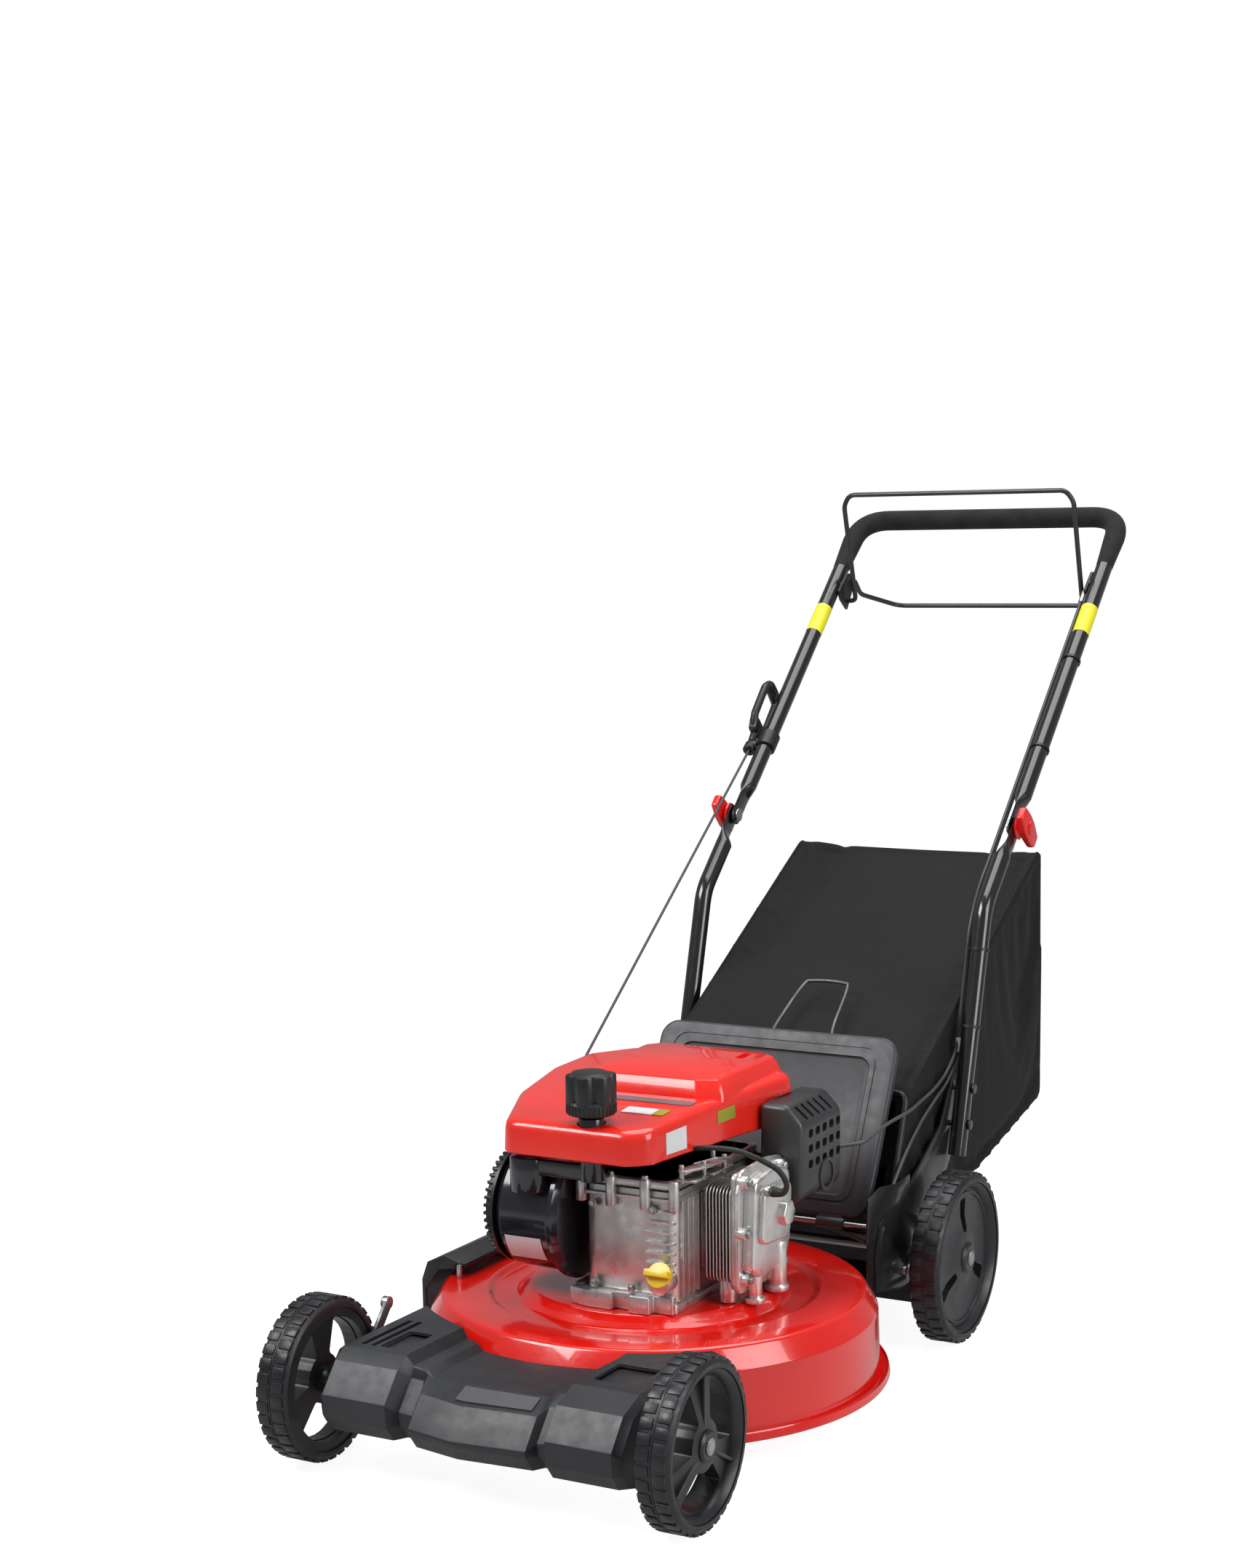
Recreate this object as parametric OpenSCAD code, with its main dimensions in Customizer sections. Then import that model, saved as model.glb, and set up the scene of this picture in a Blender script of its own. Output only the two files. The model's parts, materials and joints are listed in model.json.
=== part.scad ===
/* [Wheels] */
// Diameter of the front wheels
front_wheel_d = 203; // [196:1:210]
// Diameter of the rear wheels
rear_wheel_d = 236; // [228:1:244]
// Width of every wheel
wheel_w = 44; // [40:1:46]
// Distance from the front to the rear wheel centres
wheelbase = 774; // [770:1:780]
// Distance from the middle plane to a front wheel's outer face
front_face_x = 277; // [275:1:280]
// Distance from the middle plane to a rear wheel's outer face
rear_face_x = 281; // [280:1:284]
// Diameter of the axles and of the drive shaft
axle_d = 12.7; // [12:0.1:13]

/* [Deck] */
// Radius of the deck's lip, from the crankshaft's axis
deck_lip_r = 300; // [298:1:302]
// Height of the lip above the ground
deck_lip_z = 40; // [38:1:42]
// Height of the deck's top above the ground
deck_top_z = 150; // [149:1:151]
// Thickness of the deck's sheet steel
sheet_t = 2.6; // [2:0.1:3]
// Length of the blade, tip to tip
blade_len = 533; // [500:1:540]

/* [Handle] */
// Distance from the middle plane to the axis of a handle tube
handle_half_w = 222; // [221:1:223]
// Diameter of the handle tube
tube_d = 25; // [24:0.2:25.4]
// Slope of the upper handle, in degrees
handle_tilt = 43; // [42:0.5:44]
// Distance from the fold bolts to the axis of the grip bar
handle_len = 642; // [630:1:650]
// Diameter of the foam grip
foam_d = 32; // [30:1:33]
// Diameter of the wire of both bails
bail_d = 7.5; // [6.5:0.1:7.6]

/* [Bag] */
// Half of the bag's width
bag_half_w = 198; // [190:1:199]
// Thickness of the bag's fabric wall
bag_t = 4; // [3:0.5:5]

/* [Hidden] */
$fn = 64;
// Running clearance, radial, of a shaft in its bore
fit = 0.06;
axle_r = axle_d / 2;
tube_r = tube_d / 2;
bail_r = bail_d / 2;
// The ball at each bend of a wire is this much thicker than the wire
ball = 1.05;
foam_r = foam_d / 2;
front_r = front_wheel_d / 2;
rear_r = rear_wheel_d / 2;
rear_y = wheelbase;
crank_y = 385;
platform_z = deck_top_z + 6;
// Holes for the bolts that hold the engine on the deck
engine_bolts = [for (x = [-30, 80], y = [crank_y - 115, crank_y + 100]) [x, y]];
bolt_hole_r = 4.5;
crankshaft_r = 12;
// Axis of the round tank and air filter, and the tank's filler neck seen from above
tank_axis = [300, 262];
neck_at = [0, 231];
neck_r = 16;
// Axis on which the front axle's arms swing
front_pivot = [48, 112];
// Axis of the drive shaft, on which the rear axle's arms swing
shaft_axis = [720, 105];
// Axis of the fold bolts
fold_axis = [1076, 675];
door_axis = [648, 181];
door_tilt = 63.2;
door_half_w = 182;
flap_axis = [-236, 164];
shield_axis = [815, 152];
shield_len = 122;
// Places along the upper handle, from the fold bolts, and above its tubes
tongue_len = 38;
bend_r = 50;
foam_start = 530;
blade_bail_at = [488, -30];
drive_bail_at = [521, -18];
blade_bail_bar = [565, 128];
drive_bail_bar = [562, -115];
plate_x = [204.5, 208.5];
guide_s = 150;
// The front of the whole machine is a front wheel, and its back is the drive bail's bar
back_y = fold_axis[0] + drive_bail_bar[0] * cos(handle_tilt) - drive_bail_bar[1] * sin(handle_tilt)
    + bail_r * ball;
middle_y = (back_y - front_r) / 2;
// Straight run of the starter rope, from the shroud to the guide's eye
rope_from = [-172, 512, 404];
rope_to = [-247, 1176, 768];
rope_r = 1.8;

function arc(c, r, a0, a1, n = 6) =
    [for (i = [0:n]) c + r * [cos(a0 + (a1 - a0) * i / n), sin(a0 + (a1 - a0) * i / n)]];
function round_box(x0, y0, x1, y1, r) = concat(arc([x1 - r, y1 - r], r, 0, 90),
    arc([x0 + r, y1 - r], r, 90, 180), arc([x0 + r, y0 + r], r, 180, 270),
    arc([x1 - r, y0 + r], r, 270, 360));
function norm_of(v) = v / norm(v);

module place() translate([0, -middle_y, 0]) children();
module at_crank() translate([0, crank_y, 0]) children();
module on_handle() translate([0, fold_axis[0], fold_axis[1]]) rotate([handle_tilt, 0, 0]) children();
module both() {
    children();
    mirror([1, 0, 0]) children();
}
// A round bar along X, through a point [y, z]
module x_bar(r, x0, x1, p) translate([x0, p[0], p[1]]) rotate([0, 90, 0]) cylinder(r = r, h = x1 - x0);
// An outline in [y, z], extruded along X
module slab(x0, x1, pts) translate([x0, 0, 0]) rotate([90, 0, 90]) linear_extrude(x1 - x0) polygon(pts);
module slab_shape(x0, x1) translate([x0, 0, 0]) rotate([90, 0, 90]) linear_extrude(x1 - x0) children();
// A bar between any two points
module bar(p, q, r) {
    d = q - p;
    translate(p) rotate([0, acos(d[2] / norm(d)), atan2(d[1], d[0])]) cylinder(r = r, h = norm(d));
}
// A wire through points, with ball joints a little thicker than the wire
module wire(pts, r) {
    for (i = [0:len(pts) - 2]) bar(pts[i], pts[i + 1], r);
    for (i = [1:len(pts) - 2]) translate(pts[i]) sphere(r = r * ball);
}

// A flexible tube along points that mostly run across X
function tube_ring(pts, i, r, n) = let (
        t = norm_of(pts[min(i + 1, len(pts) - 1)] - pts[max(i - 1, 0)]),
        u = norm_of(cross(t, [1, 0, 0])), v = cross(t, u))
    [for (k = [0:n - 1]) pts[i] + r * (cos(360 * k / n) * u + sin(360 * k / n) * v)];
module flex_tube(pts, r, n = 10) polyhedron(
    points = [for (i = [0:len(pts) - 1]) each tube_ring(pts, i, r, n)],
    faces = concat([[for (k = [0:n - 1]) k]],
        [[for (k = [n - 1:-1:0]) (len(pts) - 1) * n + k]],
        [for (i = [0:len(pts) - 2], k = [0:n - 1]) [i * n + k, (i + 1) * n + k, i * n + (k + 1) % n]],
        [for (i = [0:len(pts) - 2], k = [0:n - 1])
            [(i + 1) * n + k, (i + 1) * n + (k + 1) % n, i * n + (k + 1) % n]]));

// ---- Deck, covers and housing

deck_profile = concat([[30, platform_z], [150, platform_z], [165, deck_top_z - 2]],
    arc([257, deck_top_z - 30], 30, 90, 0, 8),
    [[290, deck_lip_z + 6], [deck_lip_r, deck_lip_z + 3], [deck_lip_r, deck_lip_z],
     [288, deck_lip_z], [290 - sheet_t, deck_lip_z + 6]],
    arc([257, deck_top_z - 30], 30 - sheet_t, 0, 90, 8),
    [[165, deck_top_z - 2 - sheet_t], [150, platform_z - sheet_t], [30, platform_z - sheet_t]]);

module deck() color("#e8150f") difference() {
    at_crank() rotate_extrude($fn = 180) polygon(deck_profile);
    translate([-175, 600, 50]) cube([325, 140, 96]);
    translate([-310, 312, 54]) cube([80, 146, 62]);
    for (p = engine_bolts) translate([p[0], p[1], 140]) cylinder(r = bolt_hole_r, h = 30);
}

// Strips of the nose cover: [x from, x to, height of the top, how far it stands forward]
nose_strips = [[-208, -104, 156, 70], [-104, -76, 142, 52], [-76, 84, 134, 84],
    [84, 112, 142, 66], [112, 208, 156, 88]];
function nose_outline(top, front, t) = [[200, top - t], [-30, top - t], [-front + 28 + t, top - 14 - t],
    [-front + t, top - 52], [-front + 18 + t, 50 - t * 8], [200, 50 - t * 8]];

module nose_cover() color("#33363b") difference() {
    for (s = nose_strips) slab(s[0], s[1], nose_outline(s[2], s[3], 0));
    for (s = nose_strips) slab(s[0] + 3, s[1] - 3, nose_outline(s[2], s[3], 3));
    slab(-205, 205, nose_outline(134, 52, 3));
    translate([0, crank_y, 0]) cylinder(r = 302, h = 300, $fn = 180);
    both() slab(180, 212, [[-25, 60], [90, 60], [90, 132], [-25, 132]]);
}

module rear_housing() color("#1d1e20") difference() {
    translate([-203, 560, 98]) cube([406, 134, 74]);
    translate([-197, 540, 118]) cube([394, 170, 48]);
    translate([0, crank_y, 90]) cylinder(r = 302, h = 100, $fn = 180);
}

bracket_outline = [[625, 100], [690, 84], [742, 84], [750, 150], [790, 150], [800, 142], [826, 142],
    [832, 165], [912, 262], [930, 330], [898, 348], [850, 280], [700, 200], [655, 196], [636, 190],
    [625, 150]];
module bracket_plate() difference() {
    slab(203, 207, bracket_outline);
    x_bar(axle_r + fit, 200, 210, shaft_axis);
    x_bar(4 + fit, 200, 210, door_axis);
    x_bar(4 + fit, 200, 210, shield_axis);
    for (p = handle_bolt_points) x_bar(4 + fit, 200, 210, p);
}
module front_plate() difference() {
    slab(196, 200, [[30, 96], [70, 96], [176, 112], [176, 128], [140, 136], [40, 130], [30, 122]]);
    x_bar(6 + fit, 190, 202, front_pivot);
}
// Two bolts hold each lower handle tube to its bracket
handle_bolt_points = [[883, 277], [897, 326]];
module handle_brackets() color("#26272a") both() {
    bracket_plate();
    for (p = handle_bolt_points) {
        x_bar(4, 203, 238, p);
        x_bar(7, 199, 203, p);
        x_bar(7, 235, 238, p);
    }
}
module front_brackets() color("#26272a") both() front_plate();

// The lower handle: a leg up from the bracket, a bend, and a run in line with the upper handle
leg_tilt = 74.3;
leg_bend_s = -150;
leg_len = 352;
module lower_handle() color("#17181a") difference() {
    on_handle() {
        translate([handle_half_w, leg_bend_s, 0]) {
            rotate([-90, 0, 0]) cylinder(r = tube_r, h = -leg_bend_s - tongue_len);
            sphere(r = tube_r * ball);
            rotate([leg_tilt - handle_tilt, 0, 0]) rotate([90, 0, 0]) cylinder(r = tube_r, h = leg_len);
        }
        translate([handle_half_w + 3, -tongue_len - 12, -11]) cube([5, tongue_len + 12, 22]);
        x_bar(11, handle_half_w + 3, handle_half_w + 8, [0, 0]);
    }
    x_bar(4.5, 200, 260, fold_axis);
    for (p = handle_bolt_points) x_bar(4 + fit, 200, 260, p);
}
module lower_handle_left() lower_handle();
module lower_handle_right() mirror([1, 0, 0]) lower_handle();

// ---- Engine

cyl_axis = [375, 246];
filler_at = [84, 262, 198];
bore_r = 32;
module crankcase() color("#b9b7b2") difference() {
    union() {
        translate([0, 0, platform_z]) linear_extrude(12)
            polygon(round_box(-44, 256, 100, 500, 8));
        translate([0, 0, platform_z + 12]) linear_extrude(154) polygon(round_box(-32, 262, 96, 488, 16));
        translate([0, 0, 314]) linear_extrude(8) polygon(round_box(-40, 256, 100, 494, 12));
        for (z = [200:22:288]) translate([-24, 259, z]) cube([112, 6, 4]);
        translate([96, 330, 196]) cube([14, 90, 100]);
        translate([0, 0, 320]) at_crank() cylinder(r = 32, h = 22);
        translate(filler_at) rotate([60, 0, 0]) cylinder(r = 13, h = 16);
    }
    translate([-24, 272, platform_z + 20]) cube([112, 206, 112]);
    at_crank() cylinder(r = crankshaft_r + fit, h = 400);
    x_bar(bore_r + 4, 80, 130, cyl_axis);
    for (p = engine_bolts) translate([p[0], p[1], 150]) cylinder(r = bolt_hole_r, h = 18.5);
    translate(filler_at) rotate([60, 0, 0]) translate([0, 0, -4]) cylinder(r = 7 + fit, h = 30);
}

module engine_cylinder() color("#a9a7a4") difference() {
    union() {
        x_bar(bore_r + 8, 110, 150, cyl_axis);
        for (x = [111:6.4:146]) slab(x, x + 2.4, round_box(318, 186, 436, 306, 12));
        slab(142, 150, round_box(320, 176, 438, 324, 8));
        for (y = [334, 424]) translate([133, y, platform_z + 2]) cylinder(r = 11, h = 60);
    }
    x_bar(bore_r + fit, 100, 144, cyl_axis);
}

module valve_cover() color("#d9d8d4") {
    slab(150, 156, round_box(318, 170, 442, 328, 10));
    slab(156, 172, round_box(326, 200, 434, 320, 16));
    slab(172, 178, round_box(334, 214, 426, 312, 14));
    for (p = [[330, 190], [430, 190], [330, 314], [430, 314], [330, 250], [430, 250]])
        x_bar(6, 156, 162, p);
    translate([163, 348, platform_z + 2]) cylinder(r = 9, h = 60);
    translate([163, 410, platform_z + 2]) cylinder(r = 12, h = 60);
}

module fuel_tank() color("#1b1c20") {
    x_bar(79, -134, -46, tank_axis);
    x_bar(86, -60, -54, tank_axis);
    x_bar(72, -142, -134, tank_axis);
    translate([-90, 230, 300]) cylinder(r = 24, h = 44);
    translate([-90, 218, 322]) cube([100, 26, 22]);
    translate([neck_at[0], neck_at[1], 322]) cylinder(r = neck_r, h = 79);
}

module air_filter() color("#151618") difference() {
    x_bar(74, -160, -142.5, tank_axis);
    for (a = [0:30:330]) translate([-163, tank_axis[0], tank_axis[1]]) rotate([a, 0, 0])
        translate([0, -4, 50]) cube([12, 8, 30]);
}

module carburettor() color("#8f8e8b") {
    translate([-78, 400, 236]) cube([45.5, 44, 50]);
    translate([-80, 396, 232]) cube([4, 52, 58]);
    x_bar(18, -110, -78, [422, 262]);
}

// Outline of the shroud seen from above, and its sloping top
shroud_outline = [[-104, 205], [56, 205], [76, 214], [84, 234], [112, 420], [134, 520], [122, 536],
    [60, 562], [-60, 590], [-130, 578], [-176, 530], [-186, 450], [-166, 330], [-128, 224], [-118, 208]];
shroud_inner = [[-102, 209], [54, 209], [72, 217], [80, 236], [108, 421], [129, 518], [119, 532],
    [58, 558], [-60, 585.5], [-128, 574], [-172, 528], [-182, 450], [-162, 331], [-124, 225], [-116, 211]];
module shroud_solid(pts, top) intersection() {
    translate([0, 0, 350]) linear_extrude(80) polygon(pts);
    translate([-250, 205, top - 200]) rotate([3.4, 0, 0]) cube([500, 420, 200]);
}
module engine_shroud() color("#f0211a") {
    shroud_shell();
    // The stud that carries the starter's pulley
    at_crank() translate([0, 0, 386]) cylinder(r = 9 - fit, h = 13.5);
}
module shroud_shell() difference() {
    union() {
        shroud_solid(shroud_outline, 392);
        translate([0, 0, 396]) linear_extrude(38) polygon(round_box(-82, 384, 94, 544, 14));
    }
    translate([0, 0, -4]) shroud_solid(shroud_inner, 392);
    translate([0, 0, 340]) linear_extrude(20) polygon(shroud_inner);
    translate([0, 0, 380]) linear_extrude(50) polygon(round_box(-78, 388, 90, 540, 11));
    translate([neck_at[0], neck_at[1], 380]) cylinder(r = neck_r + 1, h = 40);
    translate(rope_from) rotate_to(rope_dir) cylinder(r = 5, h = 60);
    translate([120.5, 444, 340]) cube([64, 126, 48]);
}

module muffler() color("#4b4a49") {
    slab(130, 168, round_box(458, 270, 556, 374, 14));
    x_bar(14, 96.5, 130, [474, 300]);
}

module muffler_guard() color("#2c2d30") difference() {
    slab_shape(122, 182) polygon(round_box(446, 258, 568, 386, 12));
    slab_shape(125, 178) polygon(round_box(450, 262, 564, 382, 9));
    translate([112, 440, 254]) cube([14, 140, 140]);
    translate([182, 440, 386]) rotate([0, 45, 0]) cube([22, 300, 22], center = true);
    for (y = [462:16:540]) translate([172, y, 352]) rotate([20, 0, 0]) cube([20, 6, 22]);
    for (y = [466:24:540], z = [286:26:330]) translate([172, y, z]) cube([20, 12, 10]);
}

module piston() color("#9a9a9a") difference() {
    x_bar(bore_r - 0.02, 84, 118, cyl_axis);
    x_bar(bore_r - 5, 80, 108, cyl_axis);
}
module connecting_rod() color("#9a9a9a") difference() {
    union() {
        translate([0, crank_y, 236]) cylinder(r = 20, h = 20);
        translate([14, cyl_axis[0] - 6, 240]) cube([84, 14, 12]);
        translate([94, cyl_axis[0] - 25, cyl_axis[1]]) rotate([-90, 0, 0]) cylinder(r = 8, h = 50);
    }
    translate([0, crank_y, 230]) cylinder(r = crankshaft_r + 0.4, h = 40);
}
module crankshaft() color("#9d9c98") at_crank() {
    translate([0, 0, 66]) cylinder(r = crankshaft_r, h = 304);
    translate([0, 0, 370]) cylinder(r = 8, h = 13);
}
module flywheel() color("#8a8a88") at_crank() difference() {
    union() {
        translate([0, 0, 352]) cylinder(r = 84, h = 12);
        for (a = [0:20:340]) rotate([0, 0, a]) translate([48, -1.5, 363]) cube([34, 3, 15]);
        translate([0, 0, 345]) cylinder(r = 24, h = 25);
    }
    cylinder(r = crankshaft_r, h = 400);
}
module recoil_pulley() color("#2c2d30") at_crank() difference() {
    union() {
        translate([0, 0, 385]) cylinder(r = 44, h = 3);
        translate([0, 0, 388]) cylinder(r = 38, h = 4);
        translate([0, 0, 392]) cylinder(r = 44, h = 2.5);
    }
    translate([0, 0, 380]) cylinder(r = 9, h = 30);
}

pulley_z = 131;
module crank_pulley() color("#77777a") at_crank() difference() {
    union() {
        translate([0, 0, pulley_z]) cylinder(r = 28, h = 2);
        translate([0, 0, pulley_z]) cylinder(r = 20, h = 13);
        translate([0, 0, pulley_z + 11]) cylinder(r = 28, h = 2);
    }
    cylinder(r = crankshaft_r, h = 400);
}
gear_pulley_at = [-172, 720];
module gearbox_pulley() color("#77777a") translate([gear_pulley_at[0], gear_pulley_at[1], pulley_z]) {
    cylinder(r = 25, h = 2);
    cylinder(r = 17, h = 13);
    translate([0, 0, 11]) cylinder(r = 25, h = 2);
    translate([0, 0, -18.4]) cylinder(r = 6, h = 18.4);
}
// A flat loop round both pulleys
belt_dir = atan2(gear_pulley_at[1] - crank_y, gear_pulley_at[0]);
function loop_outline(grow) = concat(arc([0, crank_y], 20.5 + grow, belt_dir + 90, belt_dir + 270, 16),
    arc(gear_pulley_at, 17.5 + grow, belt_dir - 90, belt_dir + 90, 16));
module drive_belt() color("#111111") translate([0, 0, pulley_z + 2.5]) linear_extrude(8) difference() {
    polygon(loop_outline(6));
    polygon(loop_outline(0));
}
module gearbox() color("#3a3b3e") difference() {
    union() {
        x_bar(21, -196, -148, shaft_axis);
        translate([gear_pulley_at[0], gear_pulley_at[1], 110]) cylinder(r = 14, h = 20);
        translate([-203, 706, 90]) cube([9, 28, 30]);
    }
    x_bar(axle_r + fit, -210, -140, shaft_axis);
    translate([gear_pulley_at[0], gear_pulley_at[1], 111]) cylinder(r = 6 + fit, h = 30);
}
// The shaft stops short of the rear wheels, and a toothed end inside each wheel carries on from it
pinion_x = 234;
pinion_len = 12;
module drive_shaft() color("#8d8d8d") x_bar(axle_r, -pinion_x, pinion_x, shaft_axis);
module drive_pinions() color("#8d8d8d") both() {
    x_bar(axle_r, pinion_x, pinion_x + pinion_len, shaft_axis);
    for (a = [0:30:330]) translate([0, shaft_axis[0], shaft_axis[1]]) rotate([a, 0, 0])
        translate([pinion_x + 4, -1.6, 5]) cube([8, 3.2, 8]);
}

module blade() color("#6f7072") difference() {
    at_crank() union() {
        translate([-blade_len / 2, -28, 52]) cube([blade_len, 56, 4]);
        for (a = [0, 180]) rotate([0, 0, a]) translate([blade_len / 2 - 90, 10, 54])
            rotate([28, 0, 0]) cube([90, 22, 4]);
        translate([0, 0, 56]) cylinder(r = 30, h = 10);
        translate([0, 0, 66]) cylinder(r = 18, h = 22);
    }
    translate([0, crank_y, 40]) cylinder(r = 5, h = 100);
    translate([0, crank_y, 66]) cylinder(r = crankshaft_r, h = 100);
}
module blade_bolt() color("#55565a") at_crank() {
    translate([0, 0, 44]) cylinder(r = 10, h = 8, $fn = 6);
    translate([0, 0, 52]) cylinder(r = 5, h = 14);
}

module fuel_cap() color("#151515") translate([neck_at[0], neck_at[1], 400]) difference() {
    union() {
        cylinder(r = 21, h = 58);
        for (i = [0:5]) rotate([0, 0, 7 + i * 60]) translate([18, 0, 16]) cylinder(r = 12.6, h = 39 + i % 2);
        translate([0, 0, 9]) cylinder(r = 28, h = 9);
    }
    translate([0, 0, -20]) cylinder(r = neck_r + fit, h = 22);
}
module dipstick() color("#e8c81e") translate(filler_at) rotate([60, 0, 0]) {
    translate([0, 0, 2]) cylinder(r = 7, h = 15);
    translate([0, 0, 16.4]) cylinder(r = 16, h = 7);
    translate([-16, -4, 23]) cube([32, 8, 10]);
}

// ---- Flaps and doors

flap_y = [296, 462];
module side_flap() color("#16171a") {
    difference() {
        union() {
            slab_xz(flap_y[0], flap_y[1], [[-236, 168], [-262, 176], [-290, 164], [-299, 140],
                [-299, 52], [-296, 52], [-296, 139], [-288, 160], [-262, 172], [-236, 164]]);
            translate([flap_axis[0], flap_y[0], flap_axis[1]]) rotate([-90, 0, 0])
                cylinder(r = 5, h = flap_y[1] - flap_y[0]);
            for (y = [flap_y[0], flap_y[1] - 4])
                slab_xz(y, y + 4, [[-246, 168], [-262, 174], [-290, 162], [-298, 140], [-298, 52],
                    [-293, 52], [-293, 128], [-272, 156], [-246, 160]]);
        }
        translate([flap_axis[0], 280, flap_axis[1]]) rotate([-90, 0, 0]) cylinder(r = 2.5, h = 200);
    }
}
// An outline in [x, z], extruded along Y
module slab_xz(y0, y1, pts) translate([0, y1, 0]) rotate([90, 0, 0]) linear_extrude(y1 - y0) polygon(pts);

module hinge_rods() color("#8c8c90") {
    x_bar(4, -207, 207, door_axis);
    x_bar(4, -207, 207, shield_axis);
    translate([flap_axis[0], flap_y[0] - 8, flap_axis[1]]) rotate([-90, 0, 0])
        cylinder(r = 2.5 - fit, h = flap_y[1] - flap_y[0] + 16);
    for (y = [flap_y[0] - 8, flap_y[1] + 4]) translate([flap_axis[0] - 3, y, deck_top_z])
        cube([6, 4, 18]);
}

module rear_door() color("#3d3f44") translate([0, door_axis[0], door_axis[1]]) difference() {
    union() {
        rotate([door_tilt - 90, 0, 0]) translate([0, 7, 0]) rotate([90, 0, 0]) linear_extrude(14)
            polygon(round_box(-door_half_w, 9, door_half_w, 262, 24));
        for (x = [-150, -20, 110]) x_bar(8, x, x + 40, [0, 0]);
        for (x = [-150, -20, 110]) rotate([door_tilt - 90, 0, 0]) translate([x + 2, -6, 2])
            cube([36, 12, 24]);
    }
    rotate([door_tilt - 90, 0, 0]) translate([0, -3, 0]) rotate([90, 0, 0]) linear_extrude(14)
        polygon(round_box(-door_half_w + 34, 34, door_half_w - 34, 232, 18));
    x_bar(4 + fit, -200, 200, [0, 0]);
}

module trailing_shield() color("#121212") translate([0, shield_axis[0], shield_axis[1]]) difference() {
    union() {
        translate([-192, -2, -shield_len]) cube([384, 4, shield_len]);
        x_bar(7, -192, 192, [0, 0]);
    }
    x_bar(4 + fit, -200, 200, [0, 0]);
}

// ---- Axles and wheels

// An arm plate from its pivot to its wheel hub, less what its children take out
module arm(pivot, hub, x0) difference() {
    union() {
        x_bar(12, x0, x0 + 5, pivot);
        x_bar(12, x0, x0 + 5, hub);
        d = hub - pivot;
        translate([x0, pivot[0], pivot[1]]) rotate([atan2(d[1], d[0]), 0, 0])
            translate([0.5, 0, -10]) cube([4, norm(d), 20]);
    }
    children();
}
module axle_end(face_x, hub) {
    x_bar(10, face_x + 0.4, face_x + 2, hub);
    x_bar(8, face_x + 2, face_x + 3, hub);
}
module front_axle() color("#6b6c70") {
    x_bar(axle_r, -front_face_x - 0.4, front_face_x + 0.4, [0, front_r]);
    both() {
        arm(front_pivot, [0, front_r], 214);
        x_bar(6, 190, 216, front_pivot);
        axle_end(front_face_x, [0, front_r]);
    }
    // The height lever, leaning back beside the nose cover
    slab(-225, -221, [[38, 104], [58, 104], [112, 166], [100, 174]]);
    x_bar(8, -229, -220.5, [106, 170]);
    x_bar(9, -221, -219, front_pivot);
}
module rear_axle() color("#6b6c70") {
    x_bar(axle_r, -rear_face_x - 0.4, rear_face_x + 0.4, [rear_y, rear_r]);
    both() {
        arm(shaft_axis, [rear_y, rear_r], 213) x_bar(axle_r + fit, 200, 230, shaft_axis);
        axle_end(rear_face_x, [rear_y, rear_r]);
    }
    slab(-222, -216, [[731, 103], [745, 106], [714, 238], [697, 236]]);
    x_bar(9, -230, -219, [705, 243]);
}

// Wheels and tyres have their outer face at x = 0 and lie towards -X
front_rim_r = 88;
rear_rim_r = 104;
rim_wall = 9;
module front_rim() difference() {
    union() {
        difference() {
            x_bar(front_rim_r, -wheel_w + 2, -2, [0, 0]);
            x_bar(front_rim_r - rim_wall, -wheel_w, -wheel_w * 0.62, [0, 0]);
            x_bar(front_rim_r - rim_wall, -wheel_w * 0.34, 1, [0, 0]);
            for (a = [30:120:270]) rotate([a, 0, 0]) slab(-wheel_w, 1,
                concat(arc([0, front_rim_r - 27], 14, 200, -20, 10), [[10, 32], [-10, 32]]));
        }
        x_bar(19, -wheel_w + 1, 0, [0, 0]);
        for (a = [90:120:330]) rotate([a, 0, 0]) translate([-wheel_w * 0.75, -5, 15])
            cube([wheel_w * 0.5, 10, 66]);
    }
    x_bar(axle_r + fit, -60, 10, [0, 0]);
}
module rear_rim() difference() {
    x_bar(rear_rim_r, -wheel_w + 2, -2, [0, 0]);
    difference() {
        x_bar(rear_rim_r - rim_wall, -wheel_w, -wheel_w * 0.58, [0, 0]);
        x_bar(22, -wheel_w, 0, [0, 0]);
    }
    difference() {
        x_bar(rear_rim_r - rim_wall - 1, -5, 1, [0, 0]);
        x_bar(24, -5, 1, [0, 0]);
    }
    for (a = [0:120:240]) rotate([a, 0, 0]) slab(-wheel_w, 1,
        concat(arc([0, 76], 9, 160, 20, 6), [[6, 38], [-6, 38]]));
    x_bar(axle_r + fit, -60, 10, [0, 0]);
}
module tyre(r, bore, w) difference() {
    union() {
        x_bar(r - 1.5, -w, 0, [0, 0]);
        for (a = [0:10:350]) rotate([a, 0, 0]) translate([-w + 3, -3.5, r - 4]) cube([w * 0.42, 7, 4]);
        for (a = [5:10:355]) rotate([a, 0, 0]) translate([-w * 0.48, -3.5, r - 4]) cube([w * 0.42, 7, 4]);
    }
    x_bar(bore, -w - 1, 1, [0, 0]);
}
module front_place() translate([front_face_x, 0, front_r]) children();
module rear_place() translate([rear_face_x, rear_y, rear_r]) children();
module front_wheel_left() color("#1e1f22") front_place() front_rim();
module front_wheel_right() mirror([1, 0, 0]) front_wheel_left();
module rear_wheel_left() color("#1e1f22") rear_place() rear_rim();
module rear_wheel_right() mirror([1, 0, 0]) rear_wheel_left();
module front_tyre_left() color("#151619") front_place() tyre(front_r, front_rim_r, wheel_w);
module front_tyre_right() mirror([1, 0, 0]) front_tyre_left();
module rear_tyre_left() color("#151619") rear_place() tyre(rear_r, rear_rim_r, wheel_w);
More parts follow.
